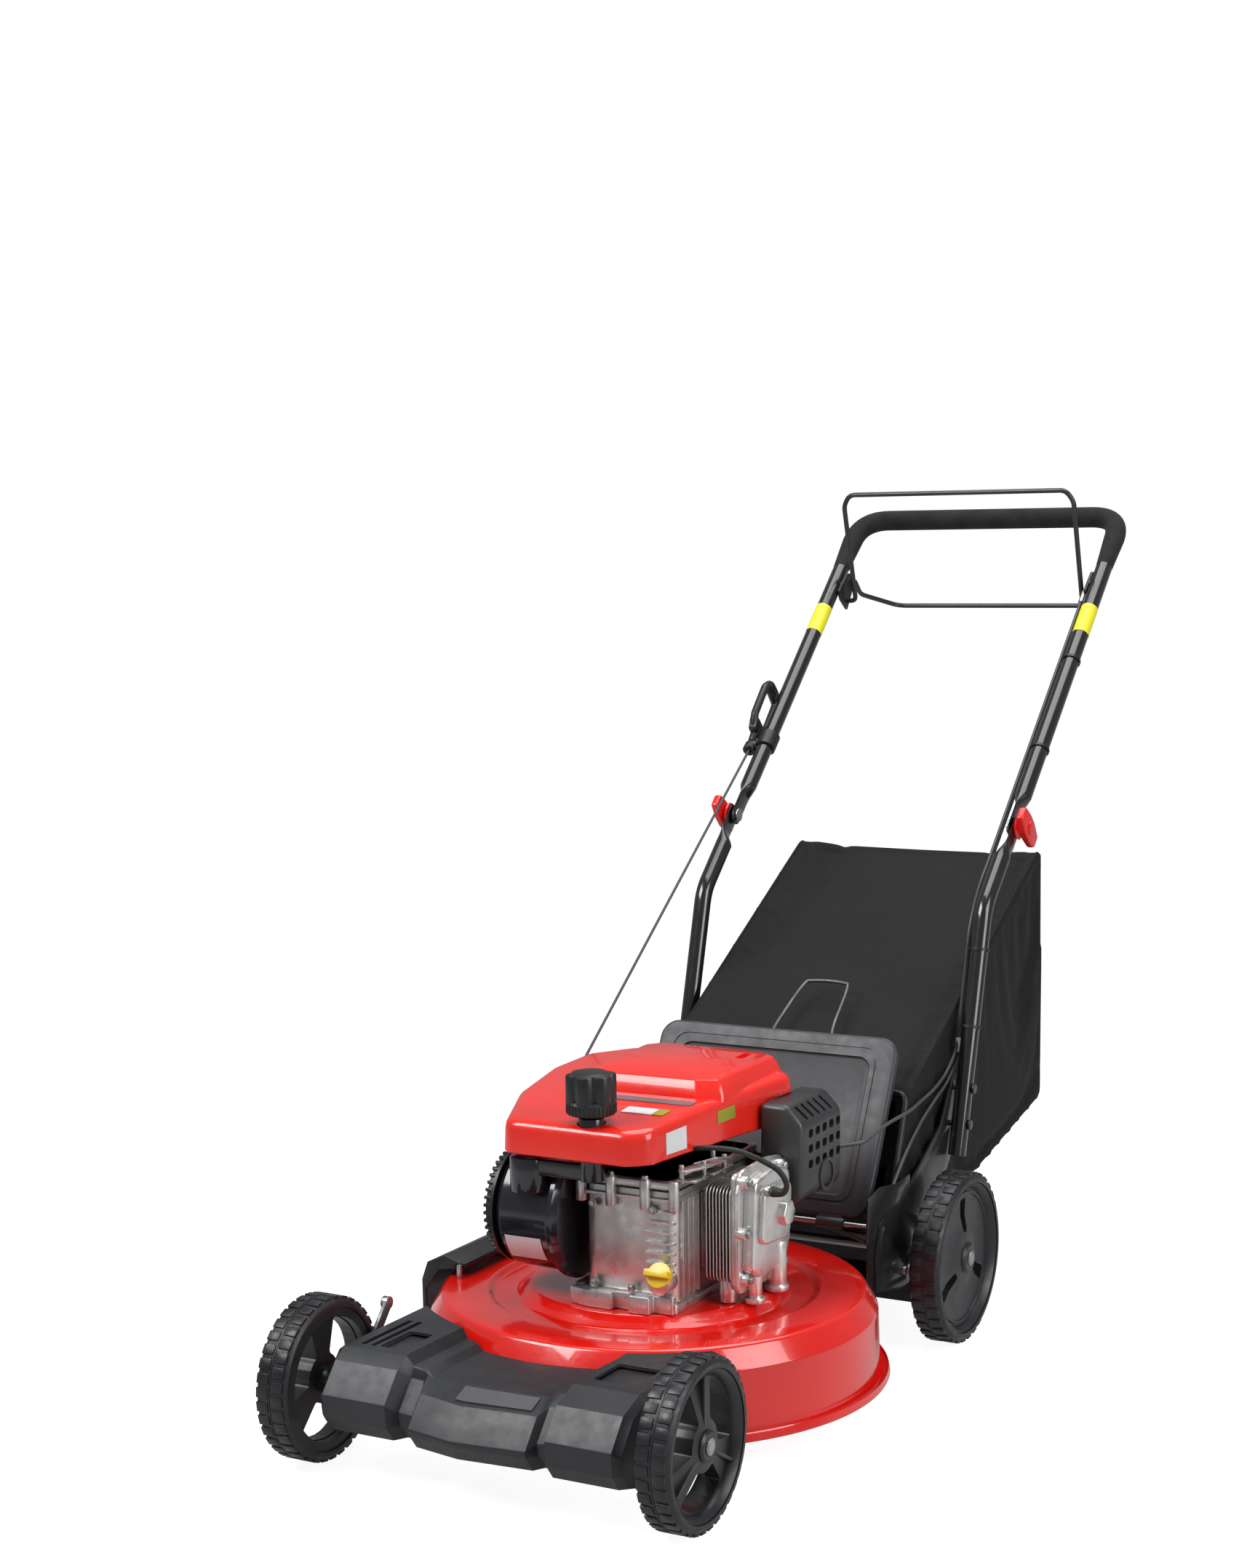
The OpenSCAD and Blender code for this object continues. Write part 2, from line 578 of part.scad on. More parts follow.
module rear_tyre_right() mirror([1, 0, 0]) rear_tyre_left();

// ---- Upper handle and its controls

module handle_run(r, s0) {
    both() {
        translate([handle_half_w, s0, 0]) rotate([-90, 0, 0]) cylinder(r = r, h = handle_len - bend_r - s0);
        translate([handle_half_w - bend_r, handle_len - bend_r, 0])
            rotate_extrude(angle = 90) translate([bend_r, 0]) circle(r = r);
    }
    translate([-handle_half_w + bend_r, handle_len, 0]) rotate([0, 90, 0])
        cylinder(r = r, h = 2 * (handle_half_w - bend_r));
}
module upper_handle() color("#17181a") on_handle() difference() {
    union() {
        handle_run(tube_r, tongue_len);
        both() {
            translate([handle_half_w - 3, 0, -11]) cube([5, tongue_len + 12, 22]);
            x_bar(11, handle_half_w - 3, handle_half_w + 2, [0, 0]);
        }
    }
    both() x_bar(4.5, 200, 260, [0, 0]);
}
module foam_grip() color("#1a1a1b") on_handle() difference() {
    handle_run(foam_r, foam_start);
    handle_run(tube_r, foam_start - 10);
}
module bail_brackets() color("#232427") on_handle() both() difference() {
    union() {
        slab(plate_x[0], plate_x[1], [[476, -38], [530, -26], [528, -8], [516, 4], [474, 6], [470, -10]]);
        x_bar(5, plate_x[0], 214, [494, 0]);
    }
    x_bar(bail_r + fit, 200, 212, blade_bail_at);
    x_bar(bail_r + fit, 200, 212, drive_bail_at);
}
blade_arm_x = 191;
drive_arm_x = 200;
// A bail is a wire from pin to pin, through its arms and its bar
module bail(pin, arm_x, corner_x, knee, corner) wire([[plate_x[1], pin[0], pin[1]],
    [arm_x, pin[0], pin[1]], [arm_x, knee[0], knee[1]], [corner_x, corner[0], corner[1]],
    [-corner_x, corner[0], corner[1]], [-arm_x, knee[0], knee[1]], [-arm_x, pin[0], pin[1]],
    [-plate_x[1], pin[0], pin[1]]], bail_r);
module blade_bail() color("#26272a") on_handle()
    bail(blade_bail_at, blade_arm_x, 180, [blade_bail_bar[0] - 8, blade_bail_bar[1] - 16], blade_bail_bar);
module drive_bail() color("#26272a") on_handle()
    bail(drive_bail_at, drive_arm_x, 164, [drive_bail_at[0] + 2, drive_bail_at[1] - 32], drive_bail_bar);

module fold_bolts() color("#8c8c90") both() {
    x_bar(4, handle_half_w - 5, handle_half_w + 20, fold_axis);
    x_bar(10, handle_half_w - 6, handle_half_w - 3.2, fold_axis);
}
module knob() color("#e01410") difference() {
    union() {
        x_bar(13, handle_half_w + 8.4, handle_half_w + 22, fold_axis);
        for (a = [45, 225]) translate([handle_half_w + 18, fold_axis[0], fold_axis[1]]) rotate([a, 0, 0])
            slab(0, 12, round_box(-8, 0, 8, 29, 7));
        x_bar(19, handle_half_w + 20, handle_half_w + 28, fold_axis);
    }
    x_bar(4 + fit, 200, handle_half_w + 21, fold_axis);
}
module knob_left() knob();
module knob_right() mirror([1, 0, 0]) knob();

rope_dir = norm_of(rope_to - rope_from);
module rope_guide() color("#202124") difference() {
    union() {
        on_handle() translate([-handle_half_w, guide_s - 12, 0]) rotate([-90, 0, 0])
            cylinder(r = tube_r + 3, h = 24);
        translate(rope_to) rotate_to(rope_dir) translate([0, 0, -8]) cylinder(r = 10, h = 16);
        bar(rope_to, run_point(-handle_half_w - 8, guide_s, 0), 4.5);
    }
    on_handle() translate([-handle_half_w, 50, 0]) rotate([-90, 0, 0])
        cylinder(r = tube_r + fit, h = 300);
    translate(rope_to) rotate_to(rope_dir) {
        translate([0, 0, -30]) cylinder(r = 5, h = 60);
        // The mouth lets the rope out when the handle folds
        translate([0, -3.4, -30]) cube([30, 6.8, 60]);
    }
}
module rotate_to(d) rotate([0, acos(d[2]), atan2(d[1], d[0])]) children();
// The rope up to the guide's eye, and the stub of it that the grip carries through the eye
module starter_rope() color("#3b3b3d") bar(rope_from, rope_to - rope_dir * 12, rope_r);
// The D-shaped grip stands beside the upper handle, a little steeper than it
grip_tilt = 46;
grip_dir = [0, cos(grip_tilt), sin(grip_tilt)];
grip_len = 104;
module grip_outline(edge)
    polygon([for (p = round_box(edge - grip_len, edge - 26, -edge, 26 - edge, 25 - edge)) [p[1], p[0]]]);
module starter_grip() color("#161617") translate(rope_to) rotate_to(grip_dir) translate([0, 0, 12]) {
    cylinder(r1 = 7, r2 = 8.5, h = 20);
    translate([0, 0, -19]) cylinder(r = rope_r, h = 20);
    difference() {
        translate([0, -7, 10]) rotate([-90, 0, 0]) linear_extrude(14) grip_outline(0);
        translate([0, -8, 10]) rotate([-90, 0, 0]) linear_extrude(16) grip_outline(12);
    }
}

// ---- Cables

cable_x = 203.5;
// Points beside the upper handle's run and the lower handle's leg
function run_point(x, s, t) = [x, fold_axis[0] + s * cos(handle_tilt) - t * sin(handle_tilt),
    fold_axis[1] + s * sin(handle_tilt) + t * cos(handle_tilt)];
function leg_point(x, d, t) = run_point(x, leg_bend_s, 0)
    + [0, -d * cos(leg_tilt) - t * sin(leg_tilt), -d * sin(leg_tilt) + t * cos(leg_tilt)];
brake_route = concat([for (s = [462, 380, 280, 180, 80, 10, -60, -115]) run_point(cable_x, s, -2)],
    [for (d = [30, 90, 150, 196]) leg_point(cable_x, d, -2)],
    [[202.5, 880, 352], [202.5, 835, 336], [201.5, 780, 326], [201, 746, 321], [192, 700, 314],
     [189, 665, 308], [184, 632, 302], [160, 610, 298], [130, 594, 296], [110, 562, 294],
     [98, 520, 292], [90, 488, 290]]);
drive_route = concat([for (s = [460, 380, 280, 180, 80, 10, -60, -110]) run_point(cable_x, s, -9)],
    [for (d = [36, 90, 150, 206]) leg_point(cable_x, d, -9)],
    [[202.5, 884, 338], [202.5, 838, 320], [202, 790, 299], [202, 745, 273], [201, 712, 246],
     [198.5, 690, 220], [194, 677, 196], [193, 673, 172.6]]);
module brake_cable() color("#5c5d61") flex_tube(brake_route, 2.4);
module drive_cable() color("#5c5d61") flex_tube(drive_route, 2.4);

// ---- Grass bag

bag_outer = [[705, 205], [758, 345], [1268, 620], [1281, 237], [1012, 177], [800, 176]];
bag_inner = [[640, 215], [755, 339], [1264, 613.5], [1276.5, 240.5], [1011, 181.2], [801, 180.2],
    [700, 212]];
// The carrying loop: a wire whose two ends turn in sleeves on top of the bag
loop_axis = [838, 392];
loop_r = 2.5;
loop_ends = [-62, 56];
module grass_bag() color("#1c1d1f") {
    difference() {
        slab(-bag_half_w, bag_half_w, bag_outer);
        slab(-bag_half_w + bag_t, bag_half_w - bag_t, bag_inner);
    }
    for (x = [loop_ends[0], loop_ends[1] - 8]) difference() {
        x_bar(loop_r + 3, x, x + 8, loop_axis);
        x_bar(loop_r + fit, x - 1, x + 9, loop_axis);
    }
}
module bag_loop() color("#55565a") wire([[loop_ends[0], loop_axis[0], loop_axis[1]],
    [-50, loop_axis[0], loop_axis[1]], [-46, 858, 410], [-38, 920, 449], [-28, 930, 455],
    [22, 930, 455], [32, 920, 449], [40, 858, 410], [44, loop_axis[0], loop_axis[1]],
    [loop_ends[1], loop_axis[0], loop_axis[1]]], loop_r);

place() deck();
place() nose_cover();
place() rear_housing();
place() handle_brackets();
place() front_brackets();
place() lower_handle_left();
place() lower_handle_right();
place() crankcase();
place() engine_cylinder();
place() valve_cover();
place() fuel_tank();
place() air_filter();
place() carburettor();
place() engine_shroud();
place() muffler();
place() muffler_guard();
place() piston();
place() connecting_rod();
place() crankshaft();
place() flywheel();
place() crank_pulley();
place() blade();
place() blade_bolt();
place() drive_belt();
place() gearbox();
place() gearbox_pulley();
place() drive_shaft();
place() drive_pinions();
place() fuel_cap();
place() dipstick();
place() side_flap();
place() hinge_rods();
place() rear_door();
place() trailing_shield();
place() front_axle();
place() rear_axle();
place() front_wheel_left();
place() front_wheel_right();
place() rear_wheel_left();
place() rear_wheel_right();
place() front_tyre_left();
place() front_tyre_right();
place() rear_tyre_left();
place() rear_tyre_right();
place() upper_handle();
place() foam_grip();
place() bail_brackets();
place() blade_bail();
place() drive_bail();
place() fold_bolts();
place() knob_left();
place() knob_right();
place() rope_guide();
place() starter_grip();
place() starter_rope();
place() recoil_pulley();
place() brake_cable();
place() drive_cable();
place() grass_bag();
place() bag_loop();
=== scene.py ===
"""Looks of a walk-behind lawn mower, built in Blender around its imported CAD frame."""
import json
import math

import bmesh
import bpy
from mathutils import Matrix, Vector


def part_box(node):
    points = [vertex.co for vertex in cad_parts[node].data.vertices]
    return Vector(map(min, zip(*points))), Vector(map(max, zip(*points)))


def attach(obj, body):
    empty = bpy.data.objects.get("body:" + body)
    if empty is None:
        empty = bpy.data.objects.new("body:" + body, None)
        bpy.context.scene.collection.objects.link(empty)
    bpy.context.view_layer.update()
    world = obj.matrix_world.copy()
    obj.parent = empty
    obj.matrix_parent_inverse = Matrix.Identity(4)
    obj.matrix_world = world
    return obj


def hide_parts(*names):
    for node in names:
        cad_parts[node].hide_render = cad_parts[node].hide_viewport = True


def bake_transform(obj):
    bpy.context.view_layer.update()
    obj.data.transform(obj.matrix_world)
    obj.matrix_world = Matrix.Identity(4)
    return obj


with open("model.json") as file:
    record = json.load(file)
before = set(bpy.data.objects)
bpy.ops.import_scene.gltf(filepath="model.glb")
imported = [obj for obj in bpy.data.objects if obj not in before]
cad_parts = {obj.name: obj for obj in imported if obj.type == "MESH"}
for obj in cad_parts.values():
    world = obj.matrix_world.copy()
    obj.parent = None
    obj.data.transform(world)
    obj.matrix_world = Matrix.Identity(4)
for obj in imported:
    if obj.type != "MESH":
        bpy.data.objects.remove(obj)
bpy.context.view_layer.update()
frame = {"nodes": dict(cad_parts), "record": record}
nodes = frame["nodes"]
SLOTS = {row["node"]: row["material_slot"] for row in frame["record"]["subparts"]}
BODY = {n: body for body, names in frame["record"]["behaviour"]["bodies"].items() for n in names}

# Pieces are drawn in millimetres, with Y from the front wheels' axle, and put into the frame by PLACE
MM = 0.001
low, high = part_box("front_tyre_left")
PLACE = Matrix.Translation((0, (low.y + high.y) / 2, 0)) @ Matrix.Scale(MM, 4)
SIDES = ((1, "left"), (-1, "right"))
QUARTER = math.pi / 2

# The crankshaft, the filler neck, the fold bolts, and the handle's frame and sizes
CRANK = Vector((0, 385, 0))
NECK = Vector((0, 231, 0))
FOLD = Vector((0, 1076, 675))
ON_HANDLE = Matrix.Translation(FOLD) @ Matrix.Rotation(math.radians(43), 4, "X")
HANDLE_X = 222
TUBE_RADIUS = 12.5
CABLE_X = 203.5


def on_handle(x, s, t):
    """A point beside the upper handle: s along it from the fold bolts, t above it."""
    return ON_HANDLE @ Vector((x, s, t))


# ---- Camera, light and floor

def make_camera():
    data = bpy.data.cameras.new("camera")
    cam = bpy.data.objects.new("camera", data)
    bpy.context.scene.collection.objects.link(cam)
    yaw, pitch, roll = math.radians(29.62), math.radians(10.15), math.radians(-0.95)
    forward = Vector((-math.sin(yaw) * math.cos(pitch), math.cos(yaw) * math.cos(pitch), -math.sin(pitch)))
    right = Vector((math.cos(yaw), math.sin(yaw), 0))
    up = right.cross(forward)
    tilted = right * math.cos(roll) + up * math.sin(roll)
    upward = -right * math.sin(roll) + up * math.cos(roll)
    turn = Matrix((tilted, upward, -forward)).transposed().to_4x4()
    cam.matrix_world = Matrix.Translation(PLACE @ Vector((1525, -2421, 1109))) @ turn
    data.sensor_width = 36
    data.lens = 58.98
    data.shift_x, data.shift_y = 0.0165, 0.130
    data.clip_start, data.clip_end = 0.05, 60
    bpy.context.scene.camera = cam


def area_light(name, place, target, size, watts, colour=(1, 1, 1)):
    data = bpy.data.lights.new(name, "AREA")
    data.shape, data.size, data.size_y = "RECTANGLE", size[0], size[1]
    data.energy, data.color = watts, colour
    lamp = bpy.data.objects.new(name, data)
    lamp.location = place
    lamp.rotation_euler = (Vector(target) - Vector(place)).to_track_quat("-Z", "Y").to_euler()
    bpy.context.scene.collection.objects.link(lamp)


def make_studio():
    scene = bpy.context.scene
    scene.view_settings.view_transform = "Standard"
    world = bpy.data.worlds.new("studio")
    scene.world = world
    world.use_nodes = True
    tree = world.node_tree
    tree.nodes.clear()
    out = tree.nodes.new("ShaderNodeOutputWorld")
    mix = tree.nodes.new("ShaderNodeMixShader")
    path = tree.nodes.new("ShaderNodeLightPath")
    dim, bright = (tree.nodes.new("ShaderNodeBackground") for _ in range(2))
    dim.inputs["Color"].default_value = (0.92, 0.95, 1.0, 1)
    dim.inputs["Strength"].default_value = 0.26
    bright.inputs["Strength"].default_value = 1.0
    bright.inputs["Color"].default_value = (1, 1, 1, 1)
    tree.links.new(path.outputs["Is Camera Ray"], mix.inputs[0])
    tree.links.new(dim.outputs[0], mix.inputs[1])
    tree.links.new(bright.outputs[0], mix.inputs[2])
    tree.links.new(mix.outputs[0], out.inputs[0])
    area_light("key", (-1.6, -2.2, 2.9), (0, -0.1, 0.3), (2.2, 1.4), 95)
    area_light("side", (2.9, -0.6, 1.7), (0, 0, 0.4), (1.6, 2.2), 52)
    area_light("top", (0.1, 0.5, 3.2), (0, 0, 0.3), (2.4, 2.4), 62)
    bm = bmesh.new()
    bmesh.ops.create_grid(bm, x_segments=1, y_segments=1, size=30)
    mesh = bpy.data.meshes.new("floor")
    bm.to_mesh(mesh)
    floor = bpy.data.objects.new("floor", mesh)
    scene.collection.objects.link(floor)
    pale = Shader("pale_floor", (0.32, 0.32, 0.32), 0.8)
    pale.set("Emission Color", (1, 1, 1, 1))
    # The floor is white to the camera alone, so black and red surfaces keep their depth
    seen = pale.node("LightPath").outputs["Is Camera Ray"]
    pale.feed("Emission Strength", pale.span(seen, 0, 1, 0.22, 0.92))
    pale.set("Specular IOR Level", 0.0)
    mesh.materials.append(pale.material)


# ---- Materials

class Shader:
    """A material's nodes, with short calls for the few kinds of node used here."""

    def __init__(self, name, colour, rough, metal=0.0, coat=0.0, sheen=0.0):
        self.material = bpy.data.materials.new(name)
        self.material.use_nodes = True
        self.tree = self.material.node_tree
        self.base = self.tree.nodes["Principled BSDF"]
        self.colour = colour
        self.set("Base Color", (*colour, 1))
        self.set("Roughness", rough)
        self.set("Metallic", metal)
        self.set("Coat Weight", coat)
        self.set("Coat Roughness", 0.06)
        self.set("Sheen Weight", sheen)
        self.set("Sheen Roughness", 0.5)
        self.place = self.node("TexCoord").outputs["Object"]
        self.material.diffuse_color = (*colour, 1)

    def node(self, kind):
        return self.tree.nodes.new("ShaderNode" + kind)

    def set(self, socket, value):
        self.base.inputs[socket].default_value = value

    def link(self, a, b):
        self.tree.links.new(a, b)

    def feed(self, socket, value):
        self.link(value, self.base.inputs[socket])

    def noise(self, scale, detail=3.0, stretch=None):
        tex = self.node("TexNoise")
        tex.inputs["Scale"].default_value = scale
        tex.inputs["Detail"].default_value = detail
        place = self.place
        if stretch:
            mapping = self.node("Mapping")
            mapping.inputs["Scale"].default_value = stretch
            self.link(place, mapping.inputs["Vector"])
            place = mapping.outputs["Vector"]
        self.link(place, tex.inputs["Vector"])
        return tex.outputs["Fac"]

    def cells(self, scale):
        tex = self.node("TexVoronoi")
        tex.inputs["Scale"].default_value = scale
        self.link(self.place, tex.inputs["Vector"])
        return tex.outputs["Distance"]

    def span(self, value, low, high, to_low, to_high):
        """value from low..high to to_low..to_high."""
        rng = self.node("MapRange")
        rng.inputs["From Min"].default_value = low
        rng.inputs["From Max"].default_value = high
        rng.inputs["To Min"].default_value = to_low
        rng.inputs["To Max"].default_value = to_high
        self.link(value, rng.inputs["Value"])
        return rng.outputs["Result"]

    def patches(self, scale, detail, low=0.35, high=0.65, most=1):
        """Soft spots, from 0 to most."""
        return self.span(self.noise(scale, detail), low, high, 0, most)

    def tint(self, factor, a, b):
        """The base colour goes by factor from a to b, which are colours or shares of the material's own."""
        a, b = (shade(self.colour, c) if isinstance(c, float) else c for c in (a, b))
        self.feed("Base Color", self.mix(factor, a, b))

    def gloss(self, value, low, high):
        self.feed("Roughness", self.span(value, 0.3, 0.7, low, high))

    def mix(self, factor, a, b):
        mix = self.node("Mix")
        mix.data_type = "RGBA"
        self.link(factor, mix.inputs["Factor"])
        for value, socket in ((a, mix.inputs[6]), (b, mix.inputs[7])):
            if hasattr(value, "is_output"):
                self.link(value, socket)
            else:
                socket.default_value = (*value, 1)
        return mix.outputs[2]

    def bump(self, height, distance, under=None):
        node = self.node("Bump")
        node.inputs["Distance"].default_value = distance
        node.inputs["Strength"].default_value = 1.0
        self.link(height, node.inputs["Height"])
        if under is not None:
            self.link(under, node.inputs["Normal"])
        self.feed("Normal", node.outputs["Normal"])
        return node.outputs["Normal"]


def shade(colour, factor):
    return tuple(min(1.0, c * factor) for c in colour)


def surface(name, colour, rough, metal=0.0, coat=0.0, grain=(900, 0.00004), blotch=0.1, scuff=0.06):
    """A moulded or painted finish: uneven colour, uneven gloss and a fine grain."""
    s = Shader(name, colour, rough, metal, coat)
    s.tint(s.patches(11, 4), 1 - blotch, 1 + blotch)
    s.gloss(s.noise(55, 5), rough - scuff, rough + scuff)
    if grain[1]:
        s.bump(s.noise(grain[0], 2), grain[1])
    return s.material


def paint(name, colour, rough, coat=1.0, peel=0.00012, blur=0.06):
    """Gloss powder coat with orange peel and a little dust."""
    s = Shader(name, colour, rough, 0.0, coat)
    s.set("Coat Roughness", blur)
    tone = s.mix(s.patches(6, 3), shade(colour, 0.9), shade(colour, 1.06))
    s.tint(s.patches(420, 2, 0.70, 0.76, 0.35), tone, 0.72)
    s.gloss(s.noise(40, 4), rough * 0.8, rough * 1.3)
    s.bump(s.noise(160, 2), peel)
    return s.material


def cast_metal(name, colour, rough, dark=0.45, grain=0.00012, mottle=(0.72, 1.12)):
    """Die-cast alloy: mottled, with painted shade darkening its hollows and a painted highlight, partly edge
    wear, lightening its edges.
    """
    s = Shader(name, colour, rough, 0.9)
    tone = s.mix(s.patches(34, 6, 0.35, 0.68), shade(colour, mottle[0]), shade(colour, mottle[1]))
    point = s.node("NewGeometry").outputs["Pointiness"]
    # Painted shade: the colour darkens towards dark times colour where pointiness is low, in hollows
    tone = s.mix(s.span(point, 0.44, 0.50, 1, 0), tone, shade(colour, dark))
    # Painted highlight, partly edge wear: the colour lightens towards 1.2 times colour on sharp edges
    s.tint(s.span(point, 0.53, 0.60, 0, 0.7), tone, 1.2)
    s.gloss(s.noise(90, 4), rough - 0.12, rough + 0.12)
    s.bump(s.noise(700, 3), grain)
    return s.material


def brushed(name, colour, rough, stretch=(8, 400, 400)):
    """Turned or drawn steel, with fine lines along X."""
    s = Shader(name, colour, rough, 1.0)
    lines = s.noise(3, 3, stretch)
    s.tint(s.span(lines, 0.3, 0.7, 0, 1), 0.7, 1.2)
    s.gloss(lines, rough - 0.1, rough + 0.12)
    s.bump(lines, 0.00004)
    return s.material


def woven(name, colour, threads):
    """Plain-woven polyester: threads per metre each way, with sheen and faint creases."""
    s = Shader(name, colour, 0.72, 0.0, 0.0, 0.04)
    s.set("Specular IOR Level", 0.3)
    s.set("Sheen Tint", (0.5, 0.52, 0.56, 1))
    waves = []
    for axis in ("X", "Z"):
        wave = s.node("TexWave")
        wave.bands_direction = axis
        wave.inputs["Scale"].default_value = threads
        wave.inputs["Distortion"].default_value = 0.6
        wave.inputs["Detail Scale"].default_value = 60
        s.link(s.place, wave.inputs["Vector"])
        waves.append(wave.outputs["Fac"])
    weave = s.node("Math")
    weave.operation = "MULTIPLY"
    s.link(waves[0], weave.inputs[0])
    s.link(waves[1], weave.inputs[1])
    tone = s.mix(weave.outputs[0], shade(colour, 0.6), shade(colour, 1.7))
    s.tint(s.patches(7, 4, 0.35, 0.7, 0.55), tone, 1.5)
    s.bump(weave.outputs[0], 0.00035, s.bump(s.noise(16, 5), 0.004))
    return s.material


def foam(name, colour):
    s = Shader(name, colour, 0.85, 0.0, 0.0, 0.04)
    s.set("Specular IOR Level", 0.3)
    s.tint(s.patches(30, 4), 0.7, 1.5)
    s.bump(s.cells(700), 0.0004, s.bump(s.noise(60, 3), 0.0006))
    return s.material


def rubber(name, colour, rough=0.5):
    """Moulded tread rubber: grey bloom in patches, mould grain."""
    s = Shader(name, colour, rough)
    s.tint(s.patches(18, 5, 0.45, 0.72, 0.6), 1.0, 3.2)
    s.gloss(s.noise(70, 4), rough - 0.14, rough + 0.1)
    s.bump(s.noise(500, 3), 0.00025)
    return s.material


def braid(name, colour):
    s = Shader(name, colour, 0.7, 0.0, 0.0, 0.2)
    wave = s.node("TexWave")
    wave.bands_direction = "DIAGONAL"
    wave.inputs["Scale"].default_value = 260
    s.link(s.place, wave.inputs["Vector"])
    s.tint(wave.outputs["Fac"], 0.4, 1.8)
    s.bump(wave.outputs["Fac"], 0.0004)
    return s.material


def make_materials():
    """The look of each material slot, then the looks that single pieces have instead of their slot's."""
    return {
        "red_deck": paint("red_powder_coat", (0.76, 0.009, 0.004), 0.2, 0.8, blur=0.05),
        "red_plastic": surface("red_moulding", (0.82, 0.02, 0.010), 0.24, coat=0.6, blotch=0.05),
        "grey_plastic": surface("grey_moulding", (0.034, 0.036, 0.041), 0.42, grain=(1100, 0.00008),
                                blotch=0.2),
        "black_plastic": surface("black_moulding", (0.012, 0.012, 0.013), 0.38, blotch=0.25),
        "tank_plastic": surface("tank_moulding", (0.013, 0.013, 0.018), 0.16, coat=0.5, blotch=0.2),
        "black_tube": paint("black_tube_paint", (0.008, 0.008, 0.009), 0.2, 0.8, 0.00006),
        "black_steel": paint("black_sheet_paint", (0.014, 0.014, 0.016), 0.34, 0.3),
        "cast_alloy": cast_metal("cast_alloy", (0.62, 0.60, 0.585), 0.36, mottle=(0.84, 1.06)),
        "bright_alloy": cast_metal("bright_alloy", (0.74, 0.73, 0.71), 0.34, 0.8, 0.00004, (0.9, 1.04)),
        "steel": brushed("zinc_steel", (0.46, 0.46, 0.45), 0.34),
        "iron": cast_metal("machined_iron", (0.16, 0.16, 0.16), 0.5),
        "muffler_steel": surface("heat_paint", (0.035, 0.033, 0.032), 0.6, 0.4, grain=(400, 0.0002)),
        "wheel_plastic": surface("wheel_moulding", (0.016, 0.017, 0.019), 0.36, grain=(900, 0.00006),
                                 blotch=0.3),
        "tyre": rubber("tread_rubber", (0.010, 0.010, 0.012), 0.42),
        "foam": foam("grip_foam", (0.010, 0.010, 0.010)),
        "rubber": rubber("sheet_rubber", (0.012, 0.012, 0.012), 0.6),
        "cable_jacket": surface("cable_jacket", (0.06, 0.06, 0.064), 0.32, grain=(600, 0.00004)),
        "rope": braid("braided_rope", (0.05, 0.05, 0.052)),
        "bag_fabric": woven("bag_weave", (0.004, 0.004, 0.0046), 95),
        "knob_red": surface("knob_moulding", (0.74, 0.012, 0.008), 0.28, coat=0.3),
        "yellow_plastic": surface("yellow_moulding", (0.80, 0.58, 0.02), 0.3, coat=0.2),
        "white": surface("blank_label_white", (0.75, 0.75, 0.76), 0.35, blotch=0.06, grain=(200, 0)),
        "yellow": surface("blank_label_yellow", (0.80, 0.72, 0.03), 0.35, blotch=0.08, grain=(200, 0)),
        "grey": surface("blank_label_grey", (0.10, 0.10, 0.11), 0.35, blotch=0.15, grain=(200, 0)),
        "olive": surface("blank_label_olive", (0.32, 0.30, 0.03), 0.35, blotch=0.2, grain=(200, 0)),
        "nose": surface("nose_moulding", (0.018, 0.019, 0.022), 0.42, grain=(1100, 0.00008), blotch=0.2),
        "guard": surface("guard_paint", (0.08, 0.08, 0.083), 0.38, 0.7, grain=(500, 0.0001)),
    }


# ---- Making pieces

def piece(name, bm, body, slot, replaces=(), smooth=32, look=None):
    """A mesh drawn in millimetres becomes a piece of the object, in the frame."""
    mesh = bpy.data.meshes.new(name)
    bm.transform(PLACE)
    bm.to_mesh(mesh)
    bm.free()
    return finish_piece(name, mesh, body, slot, replaces, smooth, look)


def fixed(name, bm, slot, replaces=(), smooth=32, look=None):
    """A piece of the chassis."""
    piece(name, bm, "chassis", slot, replaces, smooth, look)


def finish_piece(name, mesh, body, slot, replaces=(), smooth=32, look=None):
    obj = bpy.data.objects.new(name, mesh)
    bpy.context.scene.collection.objects.link(obj)
    mesh.materials.append(MATERIALS[look or slot])
    for face in mesh.polygons:
        face.use_smooth = True
    mesh.set_sharp_from_angle(angle=math.radians(smooth))
    if body:
        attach(obj, body)
    if replaces:
        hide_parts(*replaces)
    return obj


def bevel_edges(bm, width, angle=32, segments=2):
    """Rounds every edge sharper than angle."""
    sharp = [e for e in bm.edges if len(e.link_faces) == 2 and e.calc_face_angle(0) > math.radians(angle)]
    if sharp and width:
        bmesh.ops.bevel(bm, geom=sharp, offset=width, offset_type="OFFSET", segments=segments, profile=0.5,
                        affect="EDGES", clamp_overlap=True)


def refined(node, width=0.6, angle=34, segments=2):
    """The CAD node's own shape with its edges rounded."""
    mesh = nodes[node].data.copy()
    mesh.materials.clear()
    bm = bmesh.new()
    bm.from_mesh(mesh)
    bmesh.ops.remove_doubles(bm, verts=bm.verts, dist=2e-6)
    bmesh.ops.dissolve_limit(bm, angle_limit=math.radians(0.6), verts=bm.verts, edges=bm.edges)
    bevel_edges(bm, width * MM, angle, segments)
    bm.to_mesh(mesh)
    bm.free()
    return finish_piece(node + "_shape", mesh, BODY[node], SLOTS[node], (node,))


# ---- Shapes

AXES = {"yz": (1, 2, 0), "xy": (0, 1, 2), "xz": (0, 2, 1)}
TURNS = {"X": Matrix.Rotation(QUARTER, 4, "Y"), "Y": Matrix.Rotation(-QUARTER, 4, "X"),
         "Z": Matrix.Identity(4), "-Y": Matrix.Rotation(QUARTER, 4, "X")}


